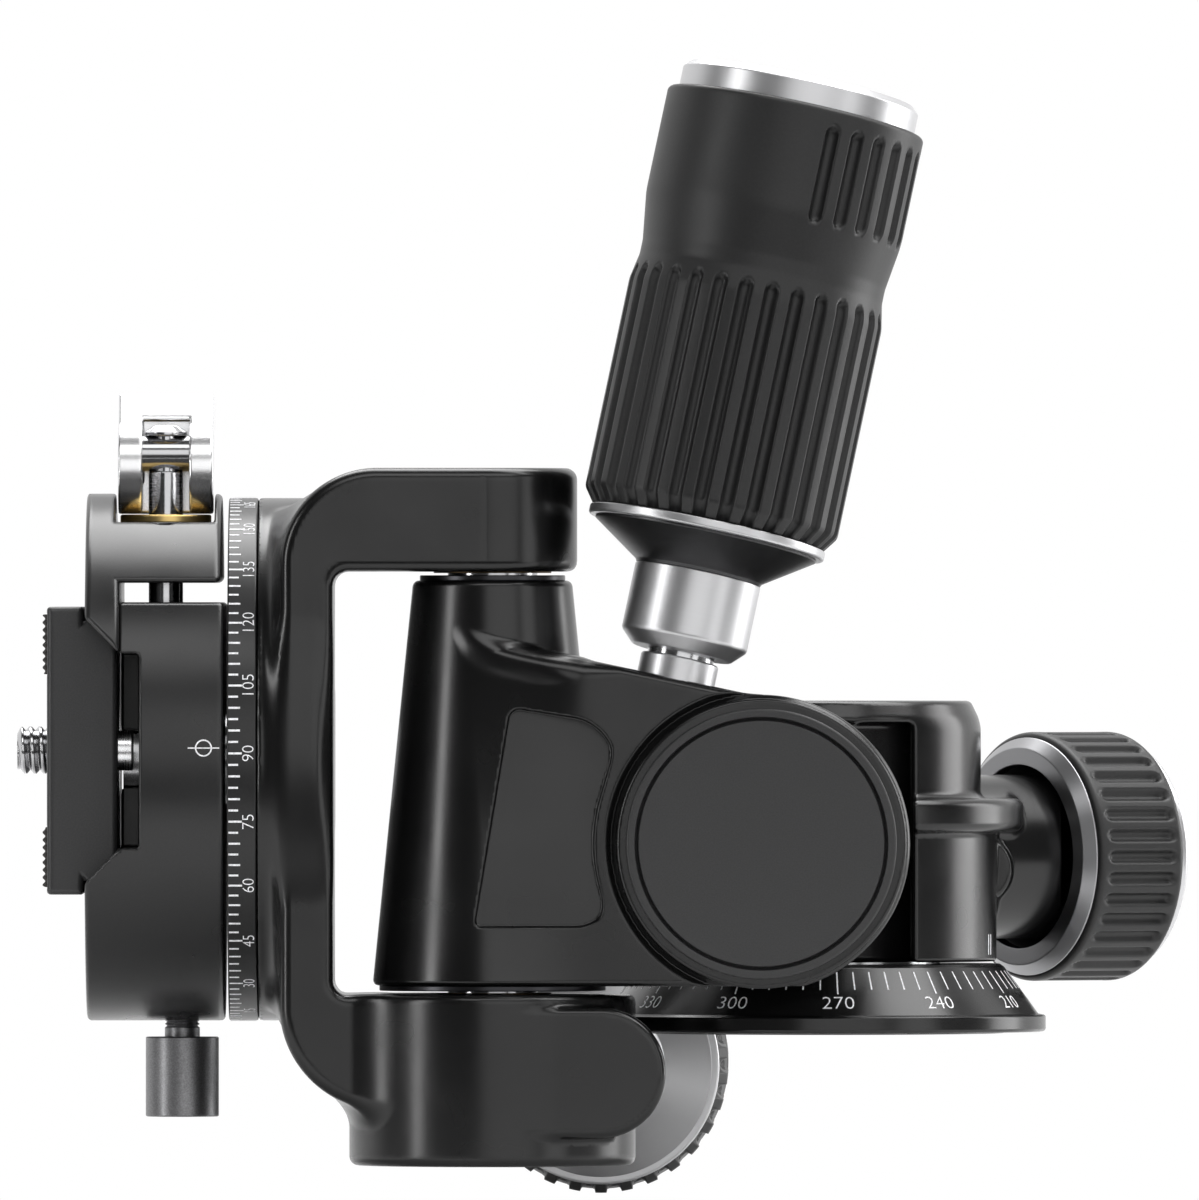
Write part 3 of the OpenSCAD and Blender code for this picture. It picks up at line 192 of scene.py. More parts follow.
def arc_corner(before, corner, after, fillet, steps=5):
    """Points and outward normals of a corner of a profile, rounded by a fillet."""
    before, corner, after = (np.array(p[:2], float) for p in (before, corner, after))
    back, ahead = before - corner, after - corner
    back_len, ahead_len = np.linalg.norm(back), np.linalg.norm(ahead)
    back, ahead = back / back_len, ahead / ahead_len
    half = 0.5 * np.arccos(np.clip(back @ ahead, -1, 1))
    reach = min(fillet / max(np.tan(half), 1e-6), 0.49 * back_len, 0.49 * ahead_len)
    radius = reach * np.tan(half)
    bisector = back + ahead
    middle = corner + bisector / max(np.linalg.norm(bisector), 1e-9) * radius / np.sin(half)
    left = np.sign(back[0] * ahead[1] - back[1] * ahead[0]) or 1.0
    first, last = corner + back * reach - middle, corner + ahead * reach - middle
    points, normals = [], []
    for share in np.linspace(0, 1, steps):
        spoke = first * (1 - share) + last * share
        spoke /= np.linalg.norm(spoke)
        points.append(middle + spoke * radius)
        normals.append(-spoke * left)
    return points, normals


def round_profile(profile):
    """Fillet every corner of a profile of (r, z, fillet); one that starts on the axis stays open there."""
    is_open = profile[0][0] == 0
    count = len(profile)
    points, normals = [], []
    for i, corner in enumerate(profile):
        if is_open and i in (0, count - 1):
            points.append(np.array(corner[:2], float))
            normals.append(np.array((0.0, -1.0 if i == 0 else 1.0)))
            continue
        some, more = arc_corner(profile[i - 1], corner, profile[(i + 1) % count], corner[2])
        points += some
        normals += more
    return np.array(points), np.array(normals), is_open


def ring_profile(inner, outer, low, high, low_edge, high_edge):
    """Profile of a plain ring, or of a disc where the inner radius is zero."""
    bore_edge = 0.1
    return [(inner, low, bore_edge), (outer, low, low_edge),
            (outer, high, high_edge), (inner, high, bore_edge)]


def lathe(name, profile, at, body, material, nodes=(), segments=160):
    """Turn a profile, listed counter-clockwise as seen with r to the right, around local Z."""
    line, out, is_open = round_profile(profile)
    angles = np.linspace(0, 2 * pi, segments, endpoint=False)
    rings = [i for i in range(len(line)) if line[i][0] > 0]
    points, normals, index = [], [], {}
    for i in range(len(line)):
        spin = angles if i in rings else angles[:1]
        index[i] = len(points)
        for a in spin:
            points.append((line[i][0] * cos(a), line[i][0] * sin(a), line[i][1]))
            normals.append((out[i][0] * cos(a), out[i][0] * sin(a), out[i][1]))
    faces = []
    last = len(line) - 1 if is_open else len(line)
    for i in range(last):
        low, high = i, (i + 1) % len(line)
        for s in range(segments):
            t = (s + 1) % segments
            quad = [index[low] + s * (low in rings), index[low] + t * (low in rings),
                    index[high] + t * (high in rings), index[high] + s * (high in rings)]
            faces.append(list(dict.fromkeys(quad)))
    return add_piece(name, points, faces, at, body, material, nodes, normals)


def moulded(name, rows, relief, at, body, material, nodes=(), segments=480):
    """Turn a closed loop of (r, z) rows around local Z, with relief(angle, z) taken off the radius."""
    angles = np.linspace(0, 2 * pi, segments, endpoint=False)
    points = []
    for r, z, has_relief in rows:
        depth = relief(angles, z) if has_relief else 0 * angles
        radii = r - depth
        points.append(np.stack([radii * np.cos(angles), radii * np.sin(angles), 0 * angles + z], 1))
    faces = []
    for i in range(len(rows)):
        low, high = i * segments, (i + 1) % len(rows) * segments
        for s in range(segments):
            t = (s + 1) % segments
            faces.append((low + s, low + t, high + t, high + s))
    return add_piece(name, np.concatenate(points), faces, at, body, material, nodes)


# Fields: negative inside a solid, in millimetres

def both(a, b, r=0.0):
    """Intersection with its edge rounded by r."""
    return np.minimum(np.maximum(a, b), -r) + np.hypot(np.maximum(a + r, 0), np.maximum(b + r, 0))


def join(a, b, r=0.0):
    """Union with its corner filled by a fillet of r."""
    return -both(-a, -b, r)


def any_of(*fields):
    """Union with sharp corners."""
    return reduce(np.minimum, fields)


def cut(a, b, r=0.0):
    """The first without the second, with the edge rounded by r."""
    return both(a, -b, r)


def span(value, low, high):
    """Slab between two limits."""
    return np.abs(value - (low + high) / 2) - (high - low) / 2


def disc_of(u, v, u0, v0, r):
    """Endless cylinder around a point of the plane of u and v."""
    return np.hypot(u - u0, v - v0) - r


def slope_to(field, points, step=0.02):
    """Unit gradient of a field at points."""
    x, y, z = points.T
    grad = np.stack([
        field(x + step, y, z) - field(x - step, y, z),
        field(x, y + step, z) - field(x, y - step, z),
        field(x, y, z + step) - field(x, y, z - step)], 1)
    return grad / np.maximum(np.linalg.norm(grad, axis=1, keepdims=True), 1e-9)


def casting(node, field, low, high, voxel, body, material, finish="_cast"):
    """Mesh the zero surface of a field inside a box, with vertices and normals taken from the field."""
    low = np.array(low, float) - 2 * voxel
    counts = np.ceil((np.array(high) + 2 * voxel - low) / voxel).astype(int) + 1
    axes = [low[i] + voxel * np.arange(counts[i]) for i in range(3)]
    values = field(*np.meshgrid(*axes, indexing="ij", sparse=True))
    grid = openvdb.FloatGrid(3 * voxel)
    grid.copyFromArray(np.ascontiguousarray(np.clip(values / voxel, -3, 3), dtype=np.float32))
    points, triangles, quads = grid.convertToPolygons(isovalue=0.0, adaptivity=0.0)
    points = points * voxel + low
    for _ in range(4):
        shift = np.clip(field(*points.T), -0.3 * voxel, 0.3 * voxel)
        points = points - shift[:, None] * slope_to(field, points)
    normals = slope_to(field, points)
    faces = list(quads) + list(triangles)
    a, b, c = (points[quads[:, i]] for i in range(3))
    facing = np.einsum("ij,ij->i", np.cross(b - a, c - b), normals[quads[:, 0]])
    if np.sum(facing) < 0:
        faces = [f[::-1] for f in faces]
    return add_piece(node + finish, points, faces, AT_BASE, body, material, [node], normals)


# Materials

def shader_node(tree, kind, values, operation=None):
    """Shader node with its inputs set to values or linked to other nodes' outputs."""
    node = tree.nodes.new("ShaderNode" + kind)
    if operation:
        node.operation = operation
    for key, value in values.items():
        if isinstance(value, bpy.types.NodeSocket):
            tree.links.new(value, node.inputs[key])
        else:
            node.inputs[key].default_value = value
    return node


def new_material(name):
    material = bpy.data.materials.new(name)
    material.use_nodes = True
    tree = material.node_tree
    return material, tree, tree.nodes["Principled BSDF"]


def object_space(tree):
    return tree.nodes.new("ShaderNodeTexCoord").outputs["Object"]


def noise_at(tree, scale, detail, vector):
    return shader_node(tree, "TexNoise", {"Scale": scale, "Detail": detail, "Vector": vector}).outputs["Fac"]


def vary(tree, source, low, high, target):
    ends = {"From Min": 0.3, "From Max": 0.7, "To Min": low, "To Max": high, "Value": source}
    tree.links.new(shader_node(tree, "MapRange", ends).outputs["Result"], target)


def tint(tree, source, dark, light, target):
    ramp = shader_node(tree, "ValToRGB", {"Fac": source})
    for end, position, colour in zip(ramp.color_ramp.elements, (0.3, 0.7), (dark, light)):
        end.position = position
        end.color = (*colour, 1)
    tree.links.new(ramp.outputs["Color"], target)


def bump(tree, source, strength, distance, shader):
    values = {"Strength": strength, "Distance": distance, "Height": source}
    tree.links.new(shader_node(tree, "Bump", values).outputs["Normal"], shader.inputs["Normal"])


def coated(name, grey, roughness, grain=4200, depth=0.000006, warm=0.0):
    """Fine-grained coating or moulded rubber: speckled colour, uneven gloss and a grain in the surface."""
    material, tree, shader = new_material(name)
    fine = noise_at(tree, grain, 3, object_space(tree))
    broad = noise_at(tree, 90, 2, object_space(tree))
    dark = (grey * 0.8, grey * (0.8 - warm), grey * (0.82 - 2 * warm))
    light = (grey * 1.25, grey * (1.25 - warm), grey * (1.28 - 2 * warm))
    tint(tree, fine, dark, light, shader.inputs["Base Color"])
    vary(tree, broad, roughness - 0.03, roughness + 0.03, shader.inputs["Roughness"])
    bump(tree, fine, 0.5, depth, shader)
    return material


def blasted(name, grey, roughness):
    """Bead-blasted metal with a fine even grain."""
    material = coated(name, grey, roughness, grain=5000, depth=0.000003)
    material.node_tree.nodes["Principled BSDF"].inputs["Metallic"].default_value = 1.0
    return material


def turned(name, colour, roughness, depth=0.000001):
    """Turned metal: fine rings around the piece's own Z axis."""
    material, tree, shader = new_material(name)
    rings = 9000
    split = shader_node(tree, "SeparateXYZ", {"Vector": object_space(tree)})
    flat = shader_node(tree, "CombineXYZ", {"X": split.outputs["X"], "Y": split.outputs["Y"]})
    radius = shader_node(tree, "VectorMath", {0: flat.outputs["Vector"]}, "LENGTH")
    groove = shader_node(tree, "CombineXYZ", {"X": radius.outputs["Value"], "Y": split.outputs["Z"]})
    fine = noise_at(tree, rings, 2, groove.outputs["Vector"])
    tint(tree, fine, [c * 0.97 for c in colour], colour, shader.inputs["Base Color"])
    vary(tree, fine, roughness - 0.02, roughness + 0.03, shader.inputs["Roughness"])
    bump(tree, fine, 0.2, depth, shader)
    shader.inputs["Metallic"].default_value = 1.0
    return material


BLACK = coated("satin_black", 0.0035, 0.25)
BLACK_TURNED = coated("satin_black_turned", 0.004, 0.22, grain=3000)
CAP_BLACK = coated("cap_black", 0.024, 0.4, grain=5200, depth=0.000012)
SCALE_GREY = coated("scale_grey", 0.008, 0.32, grain=3200)
RUBBER = coated("grip_rubber", 0.009, 0.46, grain=2600, depth=0.000010)
PAD_RUBBER = coated("pad_rubber", 0.03, 0.6, grain=2200, depth=0.00001, warm=0.12)
PAINT = coated("white_paint", 0.9, 0.5, grain=2500, depth=0.000002)
SILVER = turned("turned_silver", (0.6, 0.6, 0.61), 0.36)
STEEL = turned("bright_steel", (0.5, 0.5, 0.51), 0.16)
SCREW_STEEL = turned("screw_steel", (0.3, 0.3, 0.31), 0.3, depth=0.000004)
GUN_METAL = blasted("gun_metal", 0.2, 0.36)
PLATE_BLACK = coated("plate_black", 0.028, 0.4, grain=4600, depth=0.00001)
CLAMP_BLACK = coated("clamp_black", 0.011, 0.3, grain=4600, depth=0.000008)
DARK_METAL = turned("dark_metal", (0.16, 0.16, 0.165), 0.26)
CONE_BLACK = turned("cone_black", (0.07, 0.07, 0.072), 0.36)
CONE_GREY = turned("cone_grey", (0.34, 0.34, 0.345), 0.4)
CHROME = turned("lever_chrome", (0.88, 0.88, 0.89), 0.26, depth=0.0000005)
RING_GREY = turned("ring_grey", (0.36, 0.36, 0.37), 0.32)
CORE_METAL = turned("core_metal", (0.05, 0.05, 0.054), 0.3, depth=0.000004)
# Bronze darkened far below its own colour: painted shade for the bush faces that show in the narrow gaps
# between the sleeve and the fork.
SHADED_BRONZE = turned("bronze", (0.1, 0.07, 0.04), 0.5, depth=0.000004)
BRASS = turned("brass", (0.9, 0.65, 0.26), 0.34)

CARRIED = {
    "black_metal": BLACK, "scale_grey": SCALE_GREY, "dark_metal": DARK_METAL, "silver": SILVER,
    "steel": STEEL, "screw_steel": SCREW_STEEL, "bronze": SHADED_BRONZE, "brass": BRASS, "grip_rubber": RUBBER}


# Base and pan housing

def make_base():
    lathe("base_dial", [
        (INSERT_R + FIT, 0, 0.2), (BASE_SEAT_R, 0, 0.05), (BASE_SEAT_R, BASE_SEAT_H, 0.05),
        (BASE_R, BASE_SEAT_H, 0.5), (BASE_R, BASE_RIM_H, 0.35), (DIAL_LOW_R, BASE_RIM_H + DIAL_STEP, 0.15),
        (DIAL_TOP_R, BASE_H - DIAL_EDGE, 0.4), (DIAL_TOP_R - DIAL_BEVEL, BASE_H, 0.2),
        (INSERT_R + FIT, BASE_H, 0.2),
    ], AT_BASE, "base", BLACK_TURNED, ["base_plate"])


def knob_axes(x, y, z):
    """Distance from the pan knob's axis, and distance along it."""
    along = x * cos(radians(KNOB_ANGLE)) + y * sin(radians(KNOB_ANGLE))
    across = y * cos(radians(KNOB_ANGLE)) - x * sin(radians(KNOB_ANGLE))
    return np.hypot(across, z - KNOB_Z), along


def housing_field(x, y, z):
    r = np.hypot(x, y)
    radial, along = knob_axes(x, y, z)
    bevel = (r - HOUSING_UP_R + LID_BEVEL) * cos(LID_SLOPE) + (z - HOUSING_TOP) * sin(LID_SLOPE)
    low = both(r - HOUSING_LOW_R, span(z, HOUSING_Z, FLANGE_Z + LAP), 0.5)
    flange = both(r - HOUSING_FLANGE_R, span(z, FLANGE_Z, FLANGE_Z + FLANGE_T), 1.2)
    upper = both(both(r - HOUSING_UP_R, bevel, 0.5), span(z, FLANGE_Z, HOUSING_TOP), 0.5)
    body = join(join(low, flange, 0.8), upper, 1.2)
    neck = both(radial - NECK_R, span(along, PAN_BUSH_R, NECK_END), 0.6)
    body = join(body, neck, 1.6)
    boss = both(disc_of(x, z, NECK_BOSS_X, NECK_BOSS_Z, NECK_BOSS_R),
                span(y, NECK_BOSS_Y, NECK_BOSS_Y + NECK_BOSS_LEN), 0.6)
    body = join(body, boss, 0.5)
    pocket = both(both(x - HOUSING_FLAT_END, y + HOUSING_FLAT, 1.5), z - HOUSING_TOP + LID_H, 0.5)
    floor = (y + HOUSING_RELIEF) * cos(RELIEF_TURN) - (x - RELIEF_MID_X) * sin(RELIEF_TURN)
    relief = both(both(x - HOUSING_FLAT_END, floor, 0.3), z - HOUSING_TOP + LID_H, 0.8)
    relief = both(relief, TILT_PAD_R - disc_of(x, z, TILT_X, TILT_Z, 0), 0.3)
    body = cut(body, any_of(pocket, relief), 0.7)
    return cut(body, housing_bores(x, y, z, r, radial, along), 0.3)


def housing_bores(x, y, z, r, radial, along):
    foot = both(r - POST_FOOT_R - GAP, z - POST_FOOT_TOP - GAP)
    hollow = both(r - COVER_R + COVER_LEDGE, span(z, POST_TOP - GAP, HOUSING_TOP - COVER_T + 2 * RUN))
    lid = both(r - COVER_R - FIT, HOUSING_TOP - COVER_T - z)
    shaft = both(disc_of(x, z, TILT_X, TILT_Z, TILT_SHAFT_R + FIT), span(y, -TILT_SHAFT_OUT, -TILT_SHAFT_IN))
    screw = both(radial - KNOB_SCREW_R - RUN, span(along, KNOB_SCREW_IN, NECK_END + KNOB_SCREW_IN))
    return any_of(foot, r - PAN_BUSH_R - FIT, hollow, lid, shaft, screw)


def make_housing():
    casting("pan_housing", housing_field, (-28, -28, 9), (31, 28, 45), 0.33,
            "housing", BLACK)
    lathe("housing_lid", ring_profile(0, COVER_R, HOUSING_TOP - COVER_T, HOUSING_TOP, 0.2, 0.5),
          AT_BASE, "housing", BLACK_TURNED, ["housing_cover"])


# Relief of the moulded grips

def groove_depth(angles, z, count, radius, width, depth, low, high, ends=1.0):
    """Pill-shaped grooves around a grip, deepest along their middle lines."""
    pitch = 2 * pi / count
    off = (np.mod(angles + pitch / 2, pitch) - pitch / 2) * radius
    beyond = max(low - z, z - high, 0.0) * ends
    share = np.clip(np.hypot(off, beyond) / (width / 2), 0, 1)
    return depth * (1 - share ** 2) ** 0.6


def rows_between(profile, step=0.35):
    """Rows of (r, z, True) along a smooth outer profile of (r, z, fillet)."""
    points = [np.array(profile[0][:2], float)]
    for i in range(1, len(profile) - 1):
        points += arc_corner(profile[i - 1], profile[i], profile[i + 1], profile[i][2], 7)[0]
    points.append(np.array(profile[-1][:2], float))
    rows = []
    for a, b in zip(points, points[1:]):
        for share in np.linspace(0, 1, max(1, int(np.linalg.norm(b - a) / step)), endpoint=False):
            rows.append((*(a + (b - a) * share), True))
    rows.append((*points[-1], True))
    return rows


def make_pan_knob():
    low, high = KNOB_START + KNOB_RING_T, KNOB_START + KNOB_RING_T + KNOB_LEN
    ring_r, cap_r = KNOB_R - KNOB_RING_INSET, KNOB_R - KNOB_CAP_INSET
    core_z, cap_z = KNOB_START + KNOB_RECESS, high + KNOB_CAP_T
    lathe("knob_ring", [
        (KNOB_RECESS_R, KNOB_START, 0.2), (ring_r - KNOB_RING_BEVEL, KNOB_START, 0.3),
        (ring_r, low - 0.2, 0.3), (ring_r, low, 0.05), (KNOB_RECESS_R, low, 0.05)],
        AT_KNOB, "pan_knob", RING_GREY, ["pan_knob_ring"])
    lathe("knob_core", [
        (0, KNOB_SCREW_TIP, 0), (KNOB_SCREW_R, KNOB_SCREW_TIP, 0.4), (KNOB_SCREW_R, core_z, 0.4),
        (KNOB_CORE_R, core_z, 0.3), (KNOB_CORE_R, high, 0.2), (0, high, 0)],
        AT_KNOB, "pan_knob", CORE_METAL, ["pan_knob_core"])
    lathe("knob_cap", [
        (0, high, 0), (cap_r, high, 0.1), (cap_r, cap_z - KNOB_CAP_BEVEL_H, 0.5),
        (cap_r - KNOB_CAP_BEVEL, cap_z, 0.3), (0, cap_z, 0)],
        AT_KNOB, "pan_knob", SILVER, ["pan_knob_cap"])
    bore = KNOB_CORE_R + FIT
    outer = rows_between([(KNOB_RECESS_R, low, 0), (KNOB_R, low, 0.9), (KNOB_R, high, 0.9), (bore, high, 0)])
    rows = outer + [(bore, core_z + FIT, False), (KNOB_RECESS_R, core_z, False)]

    def relief(angles, z):
        return groove_depth(angles, z, KNOB_PILLS, KNOB_R, KNOB_PILL_W, KNOB_PILL_DEPTH,
                            low + KNOB_PILL_LOW, high - KNOB_PILL_HIGH)

    moulded("knob_grip", rows, relief, AT_KNOB, "pan_knob", RUBBER, ["pan_knob_grip"], 504)


# Handles

def make_handle(kind, at, rod_out, cone):
    cone_end = FERRULE_LEN + CONE_H
    grip_start = cone_end + HANDLE_FLANGE_T
    grip_end = grip_start + GRIP_LEN
    top, bore = grip_end + CAP_T, ROD_R + FIT
    cone_r, rim_r = HANDLE_FLANGE_R - CONE_INSET, HANDLE_FLANGE_R - CAP_RIM
    lathe(kind + "_rod_turned", ring_profile(0, ROD_R, -rod_out, ROD_IN, 0.6, 0.2),
          at, kind, STEEL, [kind + "_rod"])
    lathe(kind + "_ferrule_turned", [
        (bore, 0, 0.2), (FERRULE_R - FERRULE_BEVEL, 0, 0.6), (FERRULE_R, FERRULE_BEVEL, 0.8),
        (FERRULE_R, FERRULE_LEN, 0.15), (bore, FERRULE_LEN, 0.1)],
        at, kind, SILVER, [kind + "_ferrule"])
    lathe(kind + "_cone", [
        (bore, FERRULE_LEN, 0.1), (FERRULE_R - CONE_SETBACK, FERRULE_LEN, 0.1),
        (FERRULE_R + CONE_LIP, FERRULE_LEN + CONE_LIP_H, 0.5), (cone_r, cone_end - CONE_RIM_H, 0.6),
        (cone_r, cone_end, 0.05), (bore, cone_end, 0.1)], at, kind, cone)
    lathe(kind + "_flange", [
        (bore, cone_end, 0.1), (HANDLE_FLANGE_R, cone_end, 0.4), (HANDLE_FLANGE_R, grip_start, 0.2),
        (HANDLE_CORE_R, grip_start, 0.1), (HANDLE_CORE_R, grip_end, 0.1), (bore, grip_end, 0.1)],
        at, kind, SILVER)
    lathe(kind + "_cap_turned", [
        (0, grip_end, 0), (HANDLE_FLANGE_R, grip_end, 0.1), (HANDLE_FLANGE_R, top - CAP_BEVEL, 0.3),
        (HANDLE_FLANGE_R - CAP_BEVEL, top, 0.3), (rim_r, top, 0.2),
        (rim_r - CAP_SLOPE, top - CAP_DISH, 0.2), (0, top - CAP_DISH, 0)],
        at, kind, SILVER, [kind + "_cap"])
    make_grip(kind, at, grip_start, grip_end)


def make_grip(kind, at, low, high):
    waist = low + GRIP_LOW_LEN
    bevel, bevel_h, fall, waist_len, shoulder = 1.6, 2.2, 3.5, 2.0, 8.5
    outer = rows_between([
        (HANDLE_CORE_R + FIT, low, 0), (GRIP_LOW_R - bevel, low, 0.5), (GRIP_LOW_R, low + bevel_h, 1.5),
        (GRIP_LOW_R, waist - fall, 5.0), (GRIP_WAIST_R, waist, 4.0), (GRIP_WAIST_R, waist + waist_len, 5.0),
        (GRIP_UP_R, waist + shoulder, 12.0), (GRIP_UP_R, high, 0.7), (HANDLE_CORE_R + FIT, high, 0)])
    blank_from, blank_to = radians(-100), radians(14)

    def relief(angles, z):
        long = groove_depth(angles, z, GRIP_GROOVES, GRIP_LOW_R, GRIP_GROOVE_W, GRIP_GROOVE_DEPTH,
                            low - GRIP_RUN_OUT, waist - GRIP_GROOVE_END)
        pills = groove_depth(angles, z, GRIP_GROOVES, GRIP_UP_R, GRIP_GROOVE_W, GRIP_PILL_DEPTH,
                             high - GRIP_PILL_LOW, high - GRIP_PILL_HIGH)
        from_front = np.mod(angles + pi / 2 + pi, 2 * pi) - pi
        return np.where((from_front > blank_from) & (from_front < blank_to), long, np.maximum(long, pills))

    moulded(kind + "_grip_moulded", outer, relief, at, kind, RUBBER, [kind + "_grip"], 720)


# Tilt arm

def sleeve_radius(z):
    return SLEEVE_LOW_R + (SLEEVE_TOP_R - SLEEVE_LOW_R) * (z - SLEEVE_Z) / (SLEEVE_TOP - SLEEVE_Z)


def arm_front_field(x, y, z):
    """Front of the arm: a flat, the plane from its left edge to the sleeve, and then the sleeve."""
    edge_x, blend = -33.0, 15.0
    reach = hypot(edge_x - ROLL_X, -ARM_FRONT - ROLL_Y)
    heading = atan2(-ARM_FRONT - ROLL_Y, edge_x - ROLL_X)
    r = sleeve_radius(np.clip(z, SLEEVE_Z, SLEEVE_TOP))
    n = heading - np.arccos(r / reach)
    dx, dy = x - ROLL_X, y - ROLL_Y
    plane = np.cos(n) * dx + np.sin(n) * dy - r
    share = np.clip((x - edge_x) / blend + 0.5, 0, 1)
    share = share ** 2 * (3 - 2 * share)
    front = plane * (1 - share) + (-y - ARM_FRONT) * share
    return np.where(np.sin(n) * dx > np.cos(n) * dy, np.hypot(dx, dy) - r, front)


def arm_top(x):
    """Height of the arm's upper edge, which sweeps up the sleeve on the left."""
    rise = ARM_RISE * np.maximum(ARM_RISE_X - x, 0) ** 2
    return ARM_TOP_Z - (x - ARM_TOP_X) * tan(radians(ARM_FALL)) + rise


def crest_field(x, z, front):
    """Soft shoulder where the arm's upper edge runs out onto the sleeve."""
    rise = np.maximum(CREST_RISE_X - x, 0)
    line = CREST_Z - CREST_FALL * (x - CREST_X) + CREST_RISE * rise ** 2
    across = (z - line) / np.hypot(1, CREST_FALL + 2 * CREST_RISE * rise)
    share = np.clip((x - CREST_X) / CREST_LEN, -1, 1)
    out = (CREST_OUT + CREST_SINK) * (1 - share ** 4) ** 2 - CREST_SINK
    return both(np.hypot(across, front + CREST_R - out) - CREST_R, np.abs(x - CREST_X) - CREST_LEN)


def recess_field(x, z):
    """Outline of the blank plate recess."""
    top_x, low_x, low_z, right_x, round_r = -41.67, -46.47, 14.5, -27.67, 5.5
    lean = atan2(top_x - low_x, RECESS_TOP - low_z)
    left = -(x - top_x) * cos(lean) + (z - RECESS_TOP) * sin(lean)
    fall = atan2(1.4, 9.0)
    top = (z - RECESS_TOP) * cos(fall) + (x - top_x) * sin(fall)
    outline = both(both(left, top, 1.5), both(left, low_z - z, 1.0))
    outline = both(outline, both(both(top, x - right_x, round_r), both(low_z - z, x - right_x, round_r)))
    return cut(outline, disc_of(x, z, TILT_X, TILT_Z, BOSS_R + RECESS_CLEAR), 2.0)


def arm_field(x, y, z):
    from_roll = disc_of(x, y, ROLL_X, ROLL_Y, 0)
    from_tilt = disc_of(x, z, TILT_X, TILT_Z, 0)
    sleeve = both(from_roll - sleeve_radius(z), span(z, SLEEVE_Z, SLEEVE_TOP), 0.8)
    front = arm_front_field(x, y, z)
    top = (z - arm_top(x)) * cos(radians(ARM_FALL))
    edge = np.interp(x, ARM_EDGE_X, ARM_EDGE_R)
    web = both(both(front, top, edge), both(y + ARM_BACK, SLEEVE_Z - z, 0.8), 0.8)
    web = both(web, x - TILT_X)
    disc = both(from_tilt - ARM_END_R, span(y, -ARM_FRONT, -ARM_BACK), 0.8)
    web = np.maximum(join(web, disc, 0.5), SLEEVE_Z - z)
    crest = both(both(crest_field(x, z, front), y - ROLL_Y), top + CREST_BELOW, 2.5)
    arm = join(any_of(web, sleeve), crest, 1.5)
    base_room = both(both(REAR_BOSS_R - from_tilt, TILT_X - x), -ARM_END_BACK - y)
    arm = cut(arm, base_room, 0.3)
    boss = both(from_tilt - BOSS_R, span(y, -BOSS_FRONT, -ARM_END_BACK), 0.5)
    rear = both(from_tilt - REAR_BOSS_R, span(y, -ARM_END_BACK - LAP, -HOUSING_FLAT - GAP), 0.4)
    groove = np.abs(from_tilt - BOSS_R - GROOVE_W / 2) - GROOVE_W / 2 * (1 - (y + ARM_FRONT) / GROOVE_DEPTH)
    arm = any_of(cut(arm, groove, 0.3), boss, rear)
    recess = both(recess_field(x, z), y + RECESS_FRONT + RECESS_LEAN * (RECESS_TOP - z), 0.3)
    arm = cut(arm, recess, 0.35)
    return cut(arm, arm_bores(x, y, z, from_roll, from_tilt), 0.25)


def handle_axes(x, y, z):
    """Distance from the tilt handle's axis, and distance along it."""
    axis = AT_TILT_HANDLE.to_3x3() @ Vector((0, 0, 1))
    dx, dy, dz = x - TILT_HANDLE_AT[0], y - TILT_HANDLE_AT[1], z - TILT_HANDLE_AT[2]
    along = dx * axis[0] + dy * axis[1] + dz * axis[2]
    return np.sqrt(np.maximum(dx ** 2 + dy ** 2 + dz ** 2 - along ** 2, 0)), along


def arm_bores(x, y, z, from_roll, from_tilt):
    radial, along = handle_axes(x, y, z)
    hollow = both(from_tilt - TILT_HOLLOW_R, y + TILT_SEAT)
    collar = both(radial - COLLAR_R - FIT, span(along, -COLLAR_OUT, FERRULE_LEN))
    rod = both(radial - ROD_R - RUN, span(along, -TILT_ROD_OUT - GAP, 0))
    return any_of(from_tilt - TILT_BUSH_R - FIT, from_roll - ROLL_SHAFT_R - FIT, hollow, collar, rod)


def make_arm():
    casting("tilt_arm", arm_field, (-61, -40, 5), (13, -6, 61), 0.28,
            "arm", BLACK)
    top, plug_r = BOSS_FRONT + TILT_CAP_H, TILT_HOLLOW_R - FIT
    groove_r = TILT_CAP_R - CAP_GROOVE_AT
    lathe("tilt_cap_turned", [
        (0, BOSS_FRONT - TILT_CAP_IN, 0), (plug_r, BOSS_FRONT - TILT_CAP_IN, 0.2), (plug_r, BOSS_FRONT, 0.05),
        (TILT_CAP_R, BOSS_FRONT, 0.1), (TILT_CAP_R, top, 0.35), (groove_r + CAP_GROOVE_HALF, top, 0.06),
        (groove_r, top - CAP_GROOVE_DEPTH, 0.02), (groove_r - CAP_GROOVE_HALF, top, 0.06), (0, top, 0)],
        AT_TILT, "arm", CAP_BLACK, ["tilt_cap"])
    shaft_hole = ROLL_SHAFT_R + FIT
    lathe("washers_turned", ring_profile(
        shaft_hole, SLEEVE_TOP_R - WASHER_INSET, SLEEVE_TOP, SLEEVE_TOP + WASHER_T, 0.1, 0.15),
        AT_ROLL, "arm", CORE_METAL, ["roll_washers"])
    lathe("washer_low_turned", ring_profile(
        shaft_hole, SLEEVE_LOW_R - WASHER_INSET, SLEEVE_Z - WASHER_T, SLEEVE_Z, 0.15, 0.1),
        AT_ROLL, "arm", CORE_METAL)
    lathe("collar_turned", ring_profile(ROD_R + RUN, COLLAR_R, -COLLAR_OUT, -COLLAR_GAP, 0.2, 0.3),
          AT_TILT_HANDLE, "arm", SILVER, ["tilt_handle_collar"])


# Roll fork

def fork_bars(x, z):
    """Front outline of the fork's web and its two bars."""
    outer = both(FORK_X - x, z - FORK_TOP, FORK_TOP_ROUND)
    outer = both(outer, both(FORK_X - x, LOW_BAR_Z - z, FORK_LOW_ROUND))
    return cut(both(outer, x - ROLL_X), fork_window(x, z))


